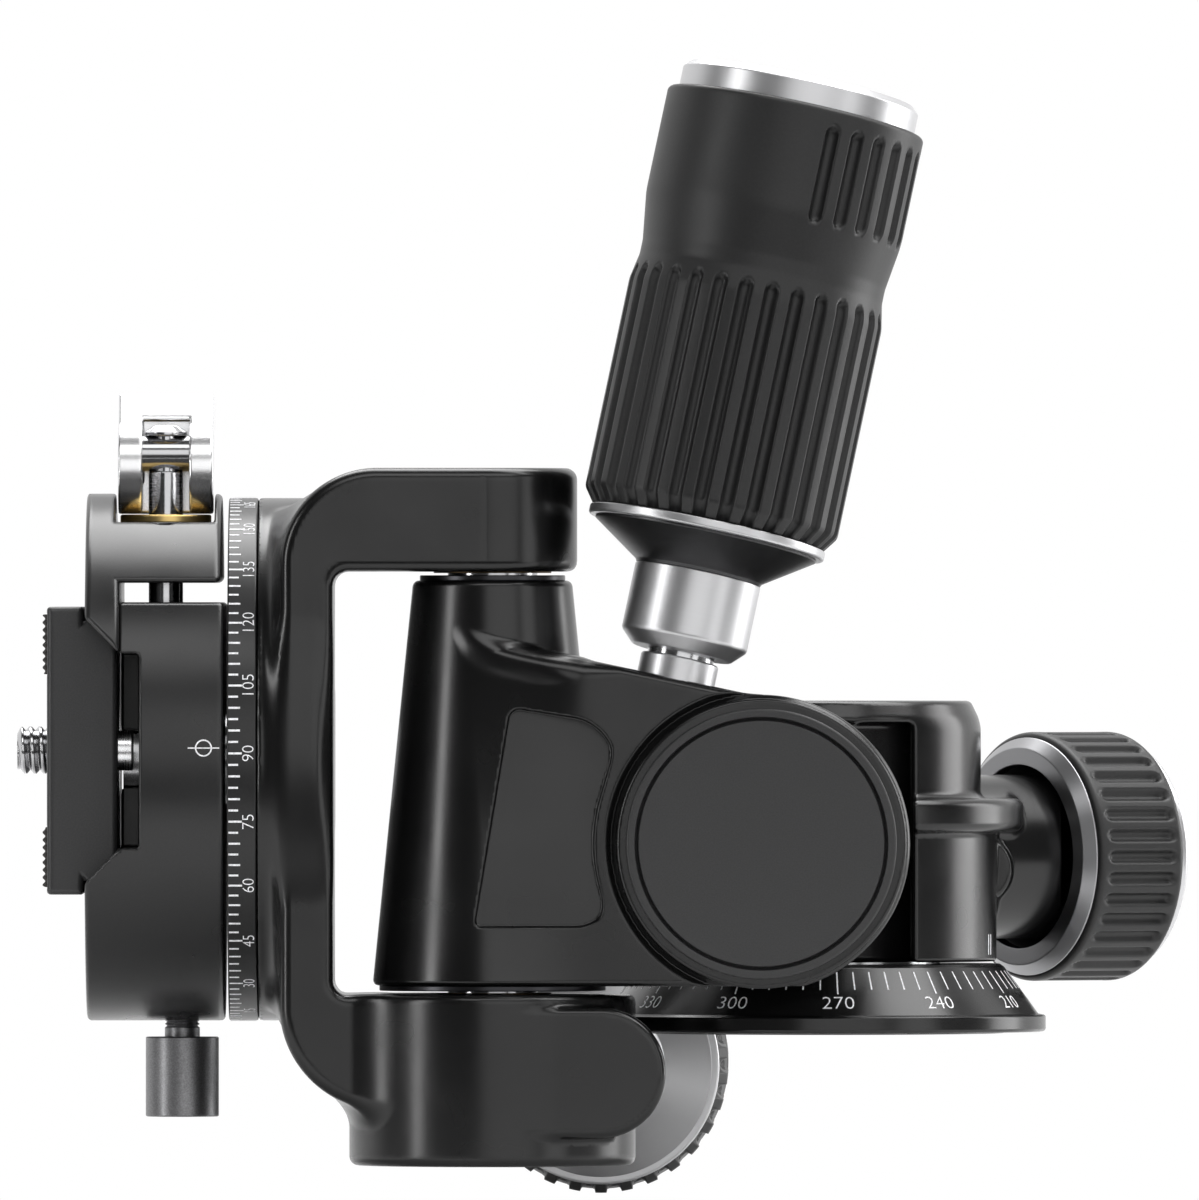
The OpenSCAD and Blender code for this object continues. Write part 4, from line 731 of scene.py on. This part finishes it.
def fork_window(x, z):
    return both(WEB_INNER_X - x, span(z, FORK_LOW_Z, FORK_UP_Z), FORK_INNER_ROUND)


def fork_field(x, y, z):
    from_roll = disc_of(x, y, ROLL_X, ROLL_Y, 0)
    from_clamp = disc_of(y, z, 0, CLAMP_Z, 0)
    half = np.abs(y - ROLL_Y) - FORK_HALF_W
    upper = both(from_roll - FORK_HALF_W, span(z, FORK_UP_Z, FORK_TOP), 1.6)
    bars = join(both(fork_bars(x, z), half, 1.6), upper)
    barrel = both(from_roll - BARREL_R, span(z, BARREL_Z, FORK_LOW_Z), 1.2)
    lug_x, _, lug_z = ROLL_HANDLE_AT
    lug = any_of(disc_of(x, z, lug_x, lug_z, LUG_R),
                 both(span(x, ROLL_X, lug_x), span(z, lug_z - LUG_R, lug_z + LUG_R)))
    lug = both(lug, span(y, -LUG_FRONT, -LUG_BACK), 1.0)
    seat = both(from_clamp - CLAMP_R, span(x, -SEAT_OUT, SEAT_T - SEAT_OUT), 0.5)
    spindle = both(from_clamp - SPINDLE_BOSS_R, span(x, -SEAT_OUT, -SPINDLE_IN), 0.8)
    fork = join(join(bars, barrel, 3.0), join(seat, spindle, 2.0), 4.0)
    fork = cut(both(join(fork, lug, 0.8), -SEAT_OUT - x), fork_window(x, z), 0.6)
    return cut(fork, fork_bores(x, y, z, from_roll, from_clamp), 0.25)


def fork_bores(x, y, z, from_roll, from_clamp):
    between = span(z, FORK_LOW_Z + ROLL_BUSH_PAST, FORK_UP_Z - ROLL_BUSH_PAST)
    bush = both(from_roll - ROLL_BUSH_R - FIT, -between)
    cover = both(from_roll - ROLL_COVER_R - FIT, -span(z, BARREL_Z + ROLL_COVER_T, FORK_TOP - ROLL_COVER_T))
    gap = both(from_roll - SLEEVE_LOW_R - SLEEVE_ROOM, span(z, FORK_LOW_Z, FORK_UP_Z))
    slit = both(both(np.abs(y - ROLL_Y) - SLIT_W / 2, ROLL_X - x), span(z, BARREL_Z - LAP, FORK_LOW_Z + LAP))
    rod = both(disc_of(x, z, ROLL_HANDLE_AT[0], ROLL_HANDLE_AT[2], ROD_R + RUN), -y - LUG_FRONT + LUG_SKIN)
    spindle = from_clamp - SPINDLE_R - FIT
    return any_of(bush, cover, slit, gap, rod, spindle)


def make_fork():
    casting("roll_fork", fork_field, (-76, -42, -18), (-20, 36, 76), 0.5,
            "fork", BLACK)
    covers = (("roll_cover_low", BARREL_Z, ["roll_covers"]), ("roll_cover_top", FORK_TOP - ROLL_COVER_T, ()))
    for name, low, nodes in covers:
        lathe(name, ring_profile(0, ROLL_COVER_R, low, low + ROLL_COVER_T, 0.3, 0.3),
              AT_ROLL, "fork", CAP_BLACK, nodes)
    lathe("scale_ring_turned", ring_profile(SPINDLE_R + FIT, CLAMP_R, SEAT_OUT, SCALE_OUT, 0.25, 0.25),
          AT_CLAMP, "fork", SCALE_GREY, ["scale_ring"], 240)


# Panning clamp

def pin_bores(x, y, play):
    return any_of(disc_of(x, y, LEVER_X, 0, DRAW_BOLT_R + play),
                  disc_of(x, np.abs(y), LEVER_X, GUIDE_PIN_Y, GUIDE_PIN_R + play))


def clamp_field(x, y, z):
    from_clamp = disc_of(y, z, 0, CLAMP_Z, 0)
    body = both(from_clamp - CLAMP_R, span(x, -CLAMP_OUT, -CLAMP_IN), 0.6)
    tip_z = PLATE_Z - PLATE_W / 2 + JAW_TIP
    undercut = ((tip_z - z) + (x + CLAMP_OUT)) / sqrt(2)
    room = both(both(x + PLATE_SEAT, undercut), PLATE_ROOM_Z - z)
    body = cut(body, room, 0.4)
    body = both(body, z - CLAMP_FLAT_Z, 0.5)
    channel = both(x + CHANNEL_FLOOR, np.abs(z - PLATE_Z) - CHANNEL_HALF_W, 0.6)
    body = cut(body, both(channel, SPINDLE_HEAD_R - GAP - np.abs(y), 0.3), 0.3)
    bush = any_of(from_clamp - CLAMP_BUSH_R - FIT,
                  both(from_clamp - SPINDLE_HEAD_R - GAP, x + SPINDLE_HEAD_AT - GAP))
    pins = both(pin_bores(x, y, FIT), CLAMP_FLAT_Z - GUIDE_PIN_IN - z)
    stem = both(disc_of(x, y, LOCK_X, 0, LOCK_STEM_R + RUN), z - CLAMP_Z)
    return cut(body, any_of(bush, pins, stem), 0.25)


def jaw_field(x, y, z):
    tip_z = PLATE_Z + PLATE_W / 2 - JAW_TIP
    slant = ((tip_z - z) - (x + CLAMP_OUT)) / sqrt(2)
    hook = both(span(x, -CLAMP_OUT, -PLATE_SEAT + FIT / 2), both(slant, z - JAW_TOP_Z), 0.3)
    block = both(span(x, -CLAMP_OUT, -CLAMP_IN - JAW_GAP), span(z, JAW_LOW_Z, JAW_TOP_Z), 0.9)
    jaw = both(any_of(hook, block), disc_of(y, z, 0, CLAMP_Z, JAW_R), 0.8)
    slot = both(np.abs(x - LEVER_X) - LEVER_W / 2 - GAP, JAW_SLOT_Z - z)
    jaw = cut(jaw, slot, 0.4)
    return cut(jaw, pin_bores(x, y, RUN), 0.2)


def lever_field(x, y, z):
    across = np.abs(x - LEVER_X)
    cam_z = LEVER_Z - CAM_OFFSET
    slant = (z - LEVER_TOP + LEVER_SLANT_H - y) / sqrt(2)
    ear = any_of(disc_of(y, z, 0, cam_z, CAM_R),
                 both(both(span(y, 0, PADDLE_START + LAP), span(z, cam_z, LEVER_TOP)), slant, 0.3))
    ears = both(ear, span(across, LEVER_W / 2 - EAR_T, LEVER_W / 2), 0.25)
    bolt_top = LEVER_Z + BARREL_PIN_R + BOLT_HEAD_H + GAP
    bridge_y = span(y, BOLT_HEAD_R + 1.4 * GAP, PADDLE_START + LAP)
    bridge = both(both(bridge_y, span(z, bolt_top, LEVER_TOP)), slant, 0.2)
    bridge = both(bridge, across - LEVER_W / 2 + EAR_T / 2)
    low, tip = LEVER_Z - LEVER_ROOT, LEVER_TOP - LEVER_TIP_T
    start = PADDLE_START + LEVER_ROOT
    under = low + (tip - low) * (y - start) / (LEVER_LEN - start) - z
    paddle = both(span(y, PADDLE_START, LEVER_LEN), z - LEVER_TOP, 1.5)
    paddle = both(paddle, np.maximum(under, low - z), 1.0)
    paddle = both(both(paddle, slant, 0.3), across - LEVER_W / 2, 0.4)
    root = both(span(y, PADDLE_START, PADDLE_START + LEVER_ROOT_T), span(z, cam_z - CAM_R, LEVER_Z), 0.3)
    lever = any_of(ears, bridge, paddle, both(root, across - LEVER_W / 2, 0.4))
    return cut(lever, disc_of(y, z, 0, LEVER_Z, BARREL_PIN_R + RUN), 0.2)


def pad_side(z):
    """Width of the two pads, which lie along the plate's edges."""
    return np.abs(np.abs(z - PLATE_Z) - (PLATE_W - PAD_W) / 2 + PAD_EDGE) - PAD_W / 2


def plate_field(x, y, z):
    out = -x
    side = np.abs(z - PLATE_Z) - PLATE_W / 2
    body = both(span(out, PLATE_IN, PLATE_OUT), side, 0.5)
    groove_out = PLATE_IN + PLATE_GROOVE_AT
    groove = both(out - groove_out, groove_out - out - side - PLATE_GROOVE, 0.1)
    body = cut(body, groove, 0.25)
    body = both(body, np.abs(y) - PLATE_LEN / 2, 0.8)
    pad = both(pad_side(z) - FIT, np.maximum(np.abs(y) - PLATE_LEN / 2 + PAD_EDGE - FIT,
                                             PLATE_OUT + PAD_RISE - PAD_T - FIT - out))
    from_screw = disc_of(y, z, 0, PLATE_Z, 0)
    screw = any_of(from_screw - CAMERA_SCREW_R - RUN,
                   both(from_screw - CAMERA_HEAD_R - GAP, out - PLATE_IN - CAMERA_HEAD_T - GAP))
    stops = both(disc_of(np.abs(y), z, STOP_Y, PLATE_Z, STOP_SHANK_R + FIT), out - PLATE_IN - STOP_SHANK_LEN)
    return cut(body, any_of(pad, screw, stops), 0.2)


def make_clamp():
    casting("clamp_body", clamp_field, (-99, -36, 1), (-79, 36, 58), 0.45,
            "clamp", CLAMP_BLACK)
    casting("clamp_jaw", jaw_field, (-99, -32, 52), (-79, 32, 73), 0.33,
            "jaw", CLAMP_BLACK)
    casting("cam_lever", lever_field, (-95, -7, 69), (-81, 35, 87), 0.3,
            "lever", CHROME)
    casting("camera_plate", plate_field, (-104, -26, 18), (-93, 26, 58), 0.35,
            "plate", PLATE_BLACK)


def make_clamp_fittings():
    bolt_low, neck_z, bolt_top = CLAMP_FLAT_Z - BOLT_IN, LEVER_Z - BARREL_PIN_R, LEVER_Z + BARREL_PIN_R
    dome_z = bolt_top + BOLT_HEAD_H
    lathe("draw_bolt_turned", [
        (0, bolt_low, 0), (DRAW_BOLT_R, bolt_low, 0.3), (DRAW_BOLT_R, neck_z, 0.2),
        (BOLT_NECK_R, neck_z, 0.1), (BOLT_NECK_R, bolt_top, 0.1), (BOLT_HEAD_R, bolt_top, 0.2),
        (BOLT_HEAD_R, bolt_top + BOLT_EDGE_H, 0.1), (BOLT_DOME_R, dome_z - 0.3, 1.2), (0, dome_z - 0.2, 0)],
        AT_BOLT, "clamp", STEEL, ["draw_bolt"], 64)
    lathe("cam_washer_turned", [
        (DRAW_BOLT_R + RUN, JAW_SLOT_Z, 0.1), (CAM_WASHER_R, JAW_SLOT_Z, 0.15),
        (CAM_WASHER_R, JAW_SLOT_Z + CAM_WASHER_T, 0.3), (DRAW_BOLT_R + RUN, JAW_SLOT_Z + CAM_WASHER_T, 0.2)],
        AT_BOLT, "jaw", BRASS, ["cam_washer"], 96)
    low = LOCK_TOP - LOCK_LEN
    thread_z, thread_step, thread_depth, thread_rows = LOCK_TOP + 1.2, 0.25, 0.3, 9
    lathe("lock_knob_turned", [
        (0, low, 0), (LOCK_R, low, 0.2), (LOCK_R, LOCK_TOP, 0.2), (LOCK_STEM_R, LOCK_TOP, 0.05),
        *[(LOCK_STEM_R - thread_depth * (i % 2), thread_z + thread_step * i, 0.05)
          for i in range(thread_rows)],
        (LOCK_STEM_R, LOCK_TOP + LOCK_LEN, 0.3), (0, LOCK_TOP + LOCK_LEN, 0)],
        AT_LOCK, "lock_knob", GUN_METAL, ["clamp_lock_knob"], 128)
    head_z, shank_z = PLATE_IN - STOP_HEAD_H, PLATE_IN + STOP_SHANK_LEN
    for side, nodes in ((-1, ["plate_stop_screws"]), (1, ())):
        lathe("stop_screw_%d" % (side + 1), [
            (0, head_z + STOP_SOCKET_H, 0), (STOP_SOCKET_R, head_z + STOP_SOCKET_H, 0.1),
            (STOP_SOCKET_R + STOP_SOCKET_BEVEL, head_z, 0.1), (STOP_HEAD_R, head_z, 0.3),
            (STOP_HEAD_R, PLATE_IN, 0.1), (STOP_SHANK_R, PLATE_IN, 0.05),
            (STOP_SHANK_R, shank_z, 0.2), (0, shank_z, 0)],
            place(0, side * STOP_Y, PLATE_Z) @ turn(-90, "Y"), "plate", CHROME, nodes, 64)


def make_camera_screw():
    """Camera screw with a real helical thread on its free end."""
    pitch, depth, tip_bevel, thread_rows = 1.27, 0.55, 0.6, 70
    neck_r, head_z, tip = CAMERA_SCREW_R - GAP, PLATE_IN + CAMERA_HEAD_T, PLATE_OUT + CAMERA_SCREW_LEN
    rows = [(FIT, PLATE_IN, False), (CAMERA_HEAD_R, PLATE_IN, False), (CAMERA_HEAD_R, head_z, False),
            (neck_r, head_z, False), (neck_r, PLATE_OUT, False)]
    for z in np.linspace(PLATE_OUT + FIT, tip, thread_rows):
        rows.append((min(CAMERA_SCREW_R, CAMERA_SCREW_R - tip_bevel + tip - z), z, True))
    rows.append((FIT, tip, False))

    def relief(angles, z):
        turn_share = np.mod(z / pitch - angles / (2 * pi), 1.0)
        crest = np.clip(1.35 - 2.6 * np.abs(turn_share - 0.5), 0, 1)
        return depth * (1 - crest)

    moulded("camera_screw_threaded", rows, relief, AT_PLATE,
            "camera_screw", STEEL, ["camera_screw"], 96)


def make_pads():
    """Two ribbed rubber pads in the camera plate."""
    def pad_field(x, y, z):
        out = -x
        ribs = PAD_RIB * np.cos(2 * pi * z / PAD_RIB_PITCH)
        face = out - PLATE_OUT - PAD_RISE + PAD_RIB - ribs
        body = both(np.maximum(face * 0.7, PLATE_OUT + PAD_RISE - PAD_T - out), pad_side(z), 0.2)
        return both(body, np.abs(y) - PLATE_LEN / 2 + PAD_EDGE, 0.3)

    casting("plate_pads", pad_field, (-105, -25, 18), (-102, 25, 58), 0.2,
            "plate", PAD_RUBBER, "_moulded")


# Dial marks, laid out on a strip (along, up, height) and wrapped onto a surface of revolution

def box_mark(along, up, width, height, thick=0.06):
    corners = [(along + sx * width / 2, up + sy * height / 2, sz * thick / 2)
               for sz in (-1, 1) for sy in (-1, 1) for sx in (-1, 1)]
    faces = [(0, 2, 3, 1), (4, 5, 7, 6), (0, 1, 5, 4), (2, 6, 7, 3), (0, 4, 6, 2), (1, 3, 7, 5)]
    return corners, faces


def text_mark(words, along, up, size, quarter_turns=0, thick=0.06):
    """Closed solid of a number, from Blender's own font."""
    curve = bpy.data.curves.new("number", "FONT")
    curve.body = words
    curve.size = size
    curve.align_x = "CENTER"
    curve.align_y = "CENTER"
    curve.extrude = thick / 2
    curve.offset = -0.014 * size
    curve.resolution_u = 3
    holder = add_object("number", curve)
    mesh = bpy.data.meshes.new_from_object(holder.evaluated_get(bpy.context.evaluated_depsgraph_get()))
    spin = radians(90 * quarter_turns)
    corners = [(along + v.co.x * cos(spin) - v.co.y * sin(spin),
                up + v.co.x * sin(spin) + v.co.y * cos(spin), v.co.z) for v in mesh.vertices]
    faces = [tuple(p.vertices) for p in mesh.polygons]
    bpy.data.objects.remove(holder)
    bpy.data.curves.remove(curve)
    bpy.data.meshes.remove(mesh)
    return corners, faces


def wrap_marks(name, marks, wrap, body):
    points, faces = [], []
    for corners, sides in marks:
        faces += [[len(points) + i for i in side] for side in sides]
        points += [wrap(*c) for c in corners]
    piece = add_piece(name, points, faces, Matrix.Identity(4), body, PAINT)
    piece.data.shade_flat()


def make_base_dial():
    lean = atan2(DIAL_LOW_R - DIAL_TOP_R, BASE_H - DIAL_EDGE - BASE_RIM_H - DIAL_STEP)
    mid_r = (DIAL_LOW_R + DIAL_TOP_R) / 2
    front_value, front_turn = 270, 4.2
    tick_top, tick_w, digits_up, digit_size = 7.15, 0.19, 2.0, 2.9
    marks = []
    for value in range(0, 360, 5):
        along = mid_r * radians(front_turn + front_value - value)
        length = 3.6 if value % 30 == 0 else 2.9
        marks.append(box_mark(along, tick_top - length / 2, tick_w, length))
        if value % 30 == 0:
            marks.append(text_mark(str(value), along, digits_up, digit_size))

    def wrap(along, up, height):
        r = DIAL_LOW_R - up * sin(lean) + height * cos(lean)
        a = along / mid_r
        return r * sin(a), -r * cos(a), BASE_RIM_H + DIAL_STEP + up * cos(lean) + height * sin(lean)

    wrap_marks("base_dial_marks", marks, wrap, "base")


def make_ring_scale():
    front_turn, digits_at, digit_size, tick_step, tick_w, tick_in = 1.5, 76.5, 2.3, 2.5, 0.28, 0.2
    marks = []
    for step in range(int(360 / tick_step)):
        value = step * tick_step
        up = CLAMP_R * radians(value - 90 + front_turn)
        shown = value if value <= 180 else 360 - value
        length = 1.8 if value % 15 == 0 else 1.55 if value % 5 == 0 else 1.3
        marks.append(box_mark(length / 2 + tick_in - SCALE_OUT, up, length, tick_w))
        if value % 15 == 0:
            marks.append(text_mark("%d" % shown, -digits_at, up, digit_size, 1))

    def wrap(along, up, height):
        r, a = CLAMP_R + height, up / CLAMP_R
        return along, -r * cos(a), CLAMP_Z + r * sin(a)

    wrap_marks("ring_scale_marks", marks, wrap, "fork")


def make_index_marks():
    out, index_z, bar_len, bar_w = 82.5, 38.3, 4.2, 0.16
    ring_radii, half_thick, steps = (0.95, 1.15), 0.03, 24
    up = CLAMP_R * asin((index_z - CLAMP_Z) / CLAMP_R)
    marks = [box_mark(out, up, bar_len, bar_w)]
    for i in range(steps):
        ends = (2 * pi * i / steps, 2 * pi * (i + 1) / steps)
        ring = [(out + r * cos(t), up + r * sin(t), h)
                for h in (-half_thick, half_thick) for r in ring_radii for t in ends]
        sides = [(0, 1, 3, 2), (4, 6, 7, 5), (0, 4, 5, 1), (2, 3, 7, 6)]
        marks.append((ring, sides))

    def on_clamp(out, up, height):
        r, a = CLAMP_R + height, up / CLAMP_R
        return -out, -r * cos(a), CLAMP_Z + r * sin(a)

    def on_housing(along, up, height):
        r, a = HOUSING_LOW_R + height, along / HOUSING_LOW_R
        return r * sin(a), -r * cos(a), up

    wrap_marks("clamp_index", marks, on_clamp, "clamp")
    pan_turn, mark_gap, mark_z, mark_w, mark_h = 72.0, 1.0, 11.9, 0.25, 2.7
    pan_at = HOUSING_LOW_R * radians(pan_turn)
    marks = [box_mark(along, mark_z, mark_w, mark_h) for along in (pan_at, pan_at + mark_gap)]
    wrap_marks("pan_index", marks, on_housing, "housing")


# Stage, light and camera

def plain_sheet(name, corners, material):
    mesh = bpy.data.meshes.new(name)
    mesh.from_pydata(corners, [], [(0, 1, 2, 3)])
    mesh.materials.append(material)
    add_object(name, mesh)


def make_world():
    """Dim room, white to the view, and white in reflections that look towards the back."""
    world = bpy.data.worlds.new("studio")
    world.use_nodes = True
    tree = world.node_tree
    path = tree.nodes.new("ShaderNodeLightPath").outputs
    glossy, through = path["Is Glossy Ray"], path["Is Transmission Ray"]
    mirrored = shader_node(tree, "Math", {0: glossy, 1: through}, "MAXIMUM")
    heading = tree.nodes.new("ShaderNodeTexCoord").outputs["Generated"]
    split = shader_node(tree, "SeparateXYZ", {"Vector": heading})
    behind = shader_node(tree, "MapRange", {"From Min": 0.1, "From Max": 0.4, "Value": split.outputs["Y"]})
    backed = shader_node(tree, "Math", {
        0: mirrored.outputs["Value"], 1: behind.outputs["Result"]}, "MULTIPLY")
    seen = shader_node(tree, "Math", {0: path["Is Camera Ray"], 1: backed.outputs["Value"]}, "MAXIMUM")
    strength = shader_node(tree, "MapRange", {"To Min": 0.06, "To Max": 1.0, "Value": seen.outputs["Value"]})
    background = tree.nodes["Background"]
    background.inputs["Color"].default_value = (1, 1, 1, 1)
    tree.links.new(strength.outputs["Result"], background.inputs["Strength"])
    bpy.context.scene.world = world


def pale_floor(name):
    """Pale floor that keeps the shadow and looks nearly white to the view."""
    material, tree, shader = new_material(name)
    shader.inputs["Base Color"].default_value = (0.8, 0.8, 0.8, 1)
    shader.inputs["Roughness"].default_value = 0.9
    glow = shader_node(tree, "Emission", {"Color": (1, 1, 1, 1)})
    path = tree.nodes.new("ShaderNodeLightPath")
    share = shader_node(tree, "Math", {0: path.outputs["Is Camera Ray"], 1: 0.6}, "MULTIPLY")
    mix = shader_node(tree, "MixShader", {
        "Fac": share.outputs["Value"], 1: shader.outputs["BSDF"], 2: glow.outputs["Emission"]})
    tree.links.new(mix.outputs["Shader"], tree.nodes["Material Output"].inputs["Surface"])
    return material


def soft_light(name, at, target, width, height, radiance):
    """Rectangular softbox with a given radiance, aimed at a point; sizes in metres."""
    lamp = bpy.data.lights.new(name, "AREA")
    lamp.shape = "RECTANGLE"
    lamp.size, lamp.size_y = width, height
    lamp.energy = radiance * pi * width * height
    holder = add_object(name, lamp)
    holder.location = at
    holder.rotation_euler = (Vector(target) - Vector(at)).to_track_quat("-Z", "Y").to_euler()
    holder.visible_camera = False


def make_stage():
    floor_z, side, front, back = -0.030, 0.5, -0.2, 0.25
    corners = [(x, y, floor_z) for x, y in ((-side, front), (side, front), (side, back), (-side, back))]
    plain_sheet("floor", corners, pale_floor("studio_floor"))
    centre = (-0.03, -0.02, 0.04)
    soft_light("key", (0.30, -1.55, 0.35), centre, 1.3, 0.9, 1.35)
    soft_light("right_box", (1.05, -0.90, 0.25), centre, 0.5, 1.2, 1.6)
    soft_light("left_strip", (-1.35, -0.70, 0.12), centre, 0.22, 1.4, 8.0)
    soft_light("right_rear_strip", (1.1, 0.38, 0.2), centre, 0.5, 1.2, 4.5)
    soft_light("top", (0.25, 0.33, 1.4), centre, 2.6, 0.8, 6.0)
    soft_light("front_top", (0.0, -1.0, 1.25), centre, 1.4, 0.6, 2.5)
    make_world()


def make_camera():
    centre_x, centre_z, camera_y, plane_y, view_width = -29.8, 58.0, -5000.0, -25.0, 1199 / 7.5
    lens = bpy.data.cameras.new("camera")
    lens.sensor_fit = "HORIZONTAL"
    lens.sensor_width = 36.0
    lens.lens = lens.sensor_width * (plane_y - camera_y) / view_width
    lens.clip_end = 100.0
    camera = add_object("camera", lens)
    camera.location = Vector((centre_x, camera_y, centre_z)) * MM
    camera.rotation_euler = (pi / 2, 0, 0)
    bpy.context.scene.camera = camera


def dress_carried_nodes():
    """Give every CAD node the material of its slot."""
    slots = {part["node"]: part["material_slot"] for part in frame["record"]["subparts"]}
    for name, node in frame["nodes"].items():
        node.data.materials.clear()
        node.data.materials.append(CARRIED[slots[name]])


make_camera()
dress_carried_nodes()
make_base()
make_housing()
make_pan_knob()
make_handle("tilt_handle", AT_TILT_HANDLE, TILT_ROD_OUT, CONE_BLACK)
make_handle("roll_handle", AT_ROLL_HANDLE, ROLL_ROD_OUT, CONE_GREY)
make_arm()
make_fork()
make_clamp()
make_clamp_fittings()
make_camera_screw()
make_pads()
make_base_dial()
make_ring_scale()
make_index_marks()
make_stage()
bpy.context.scene.view_settings.view_transform = "Standard"
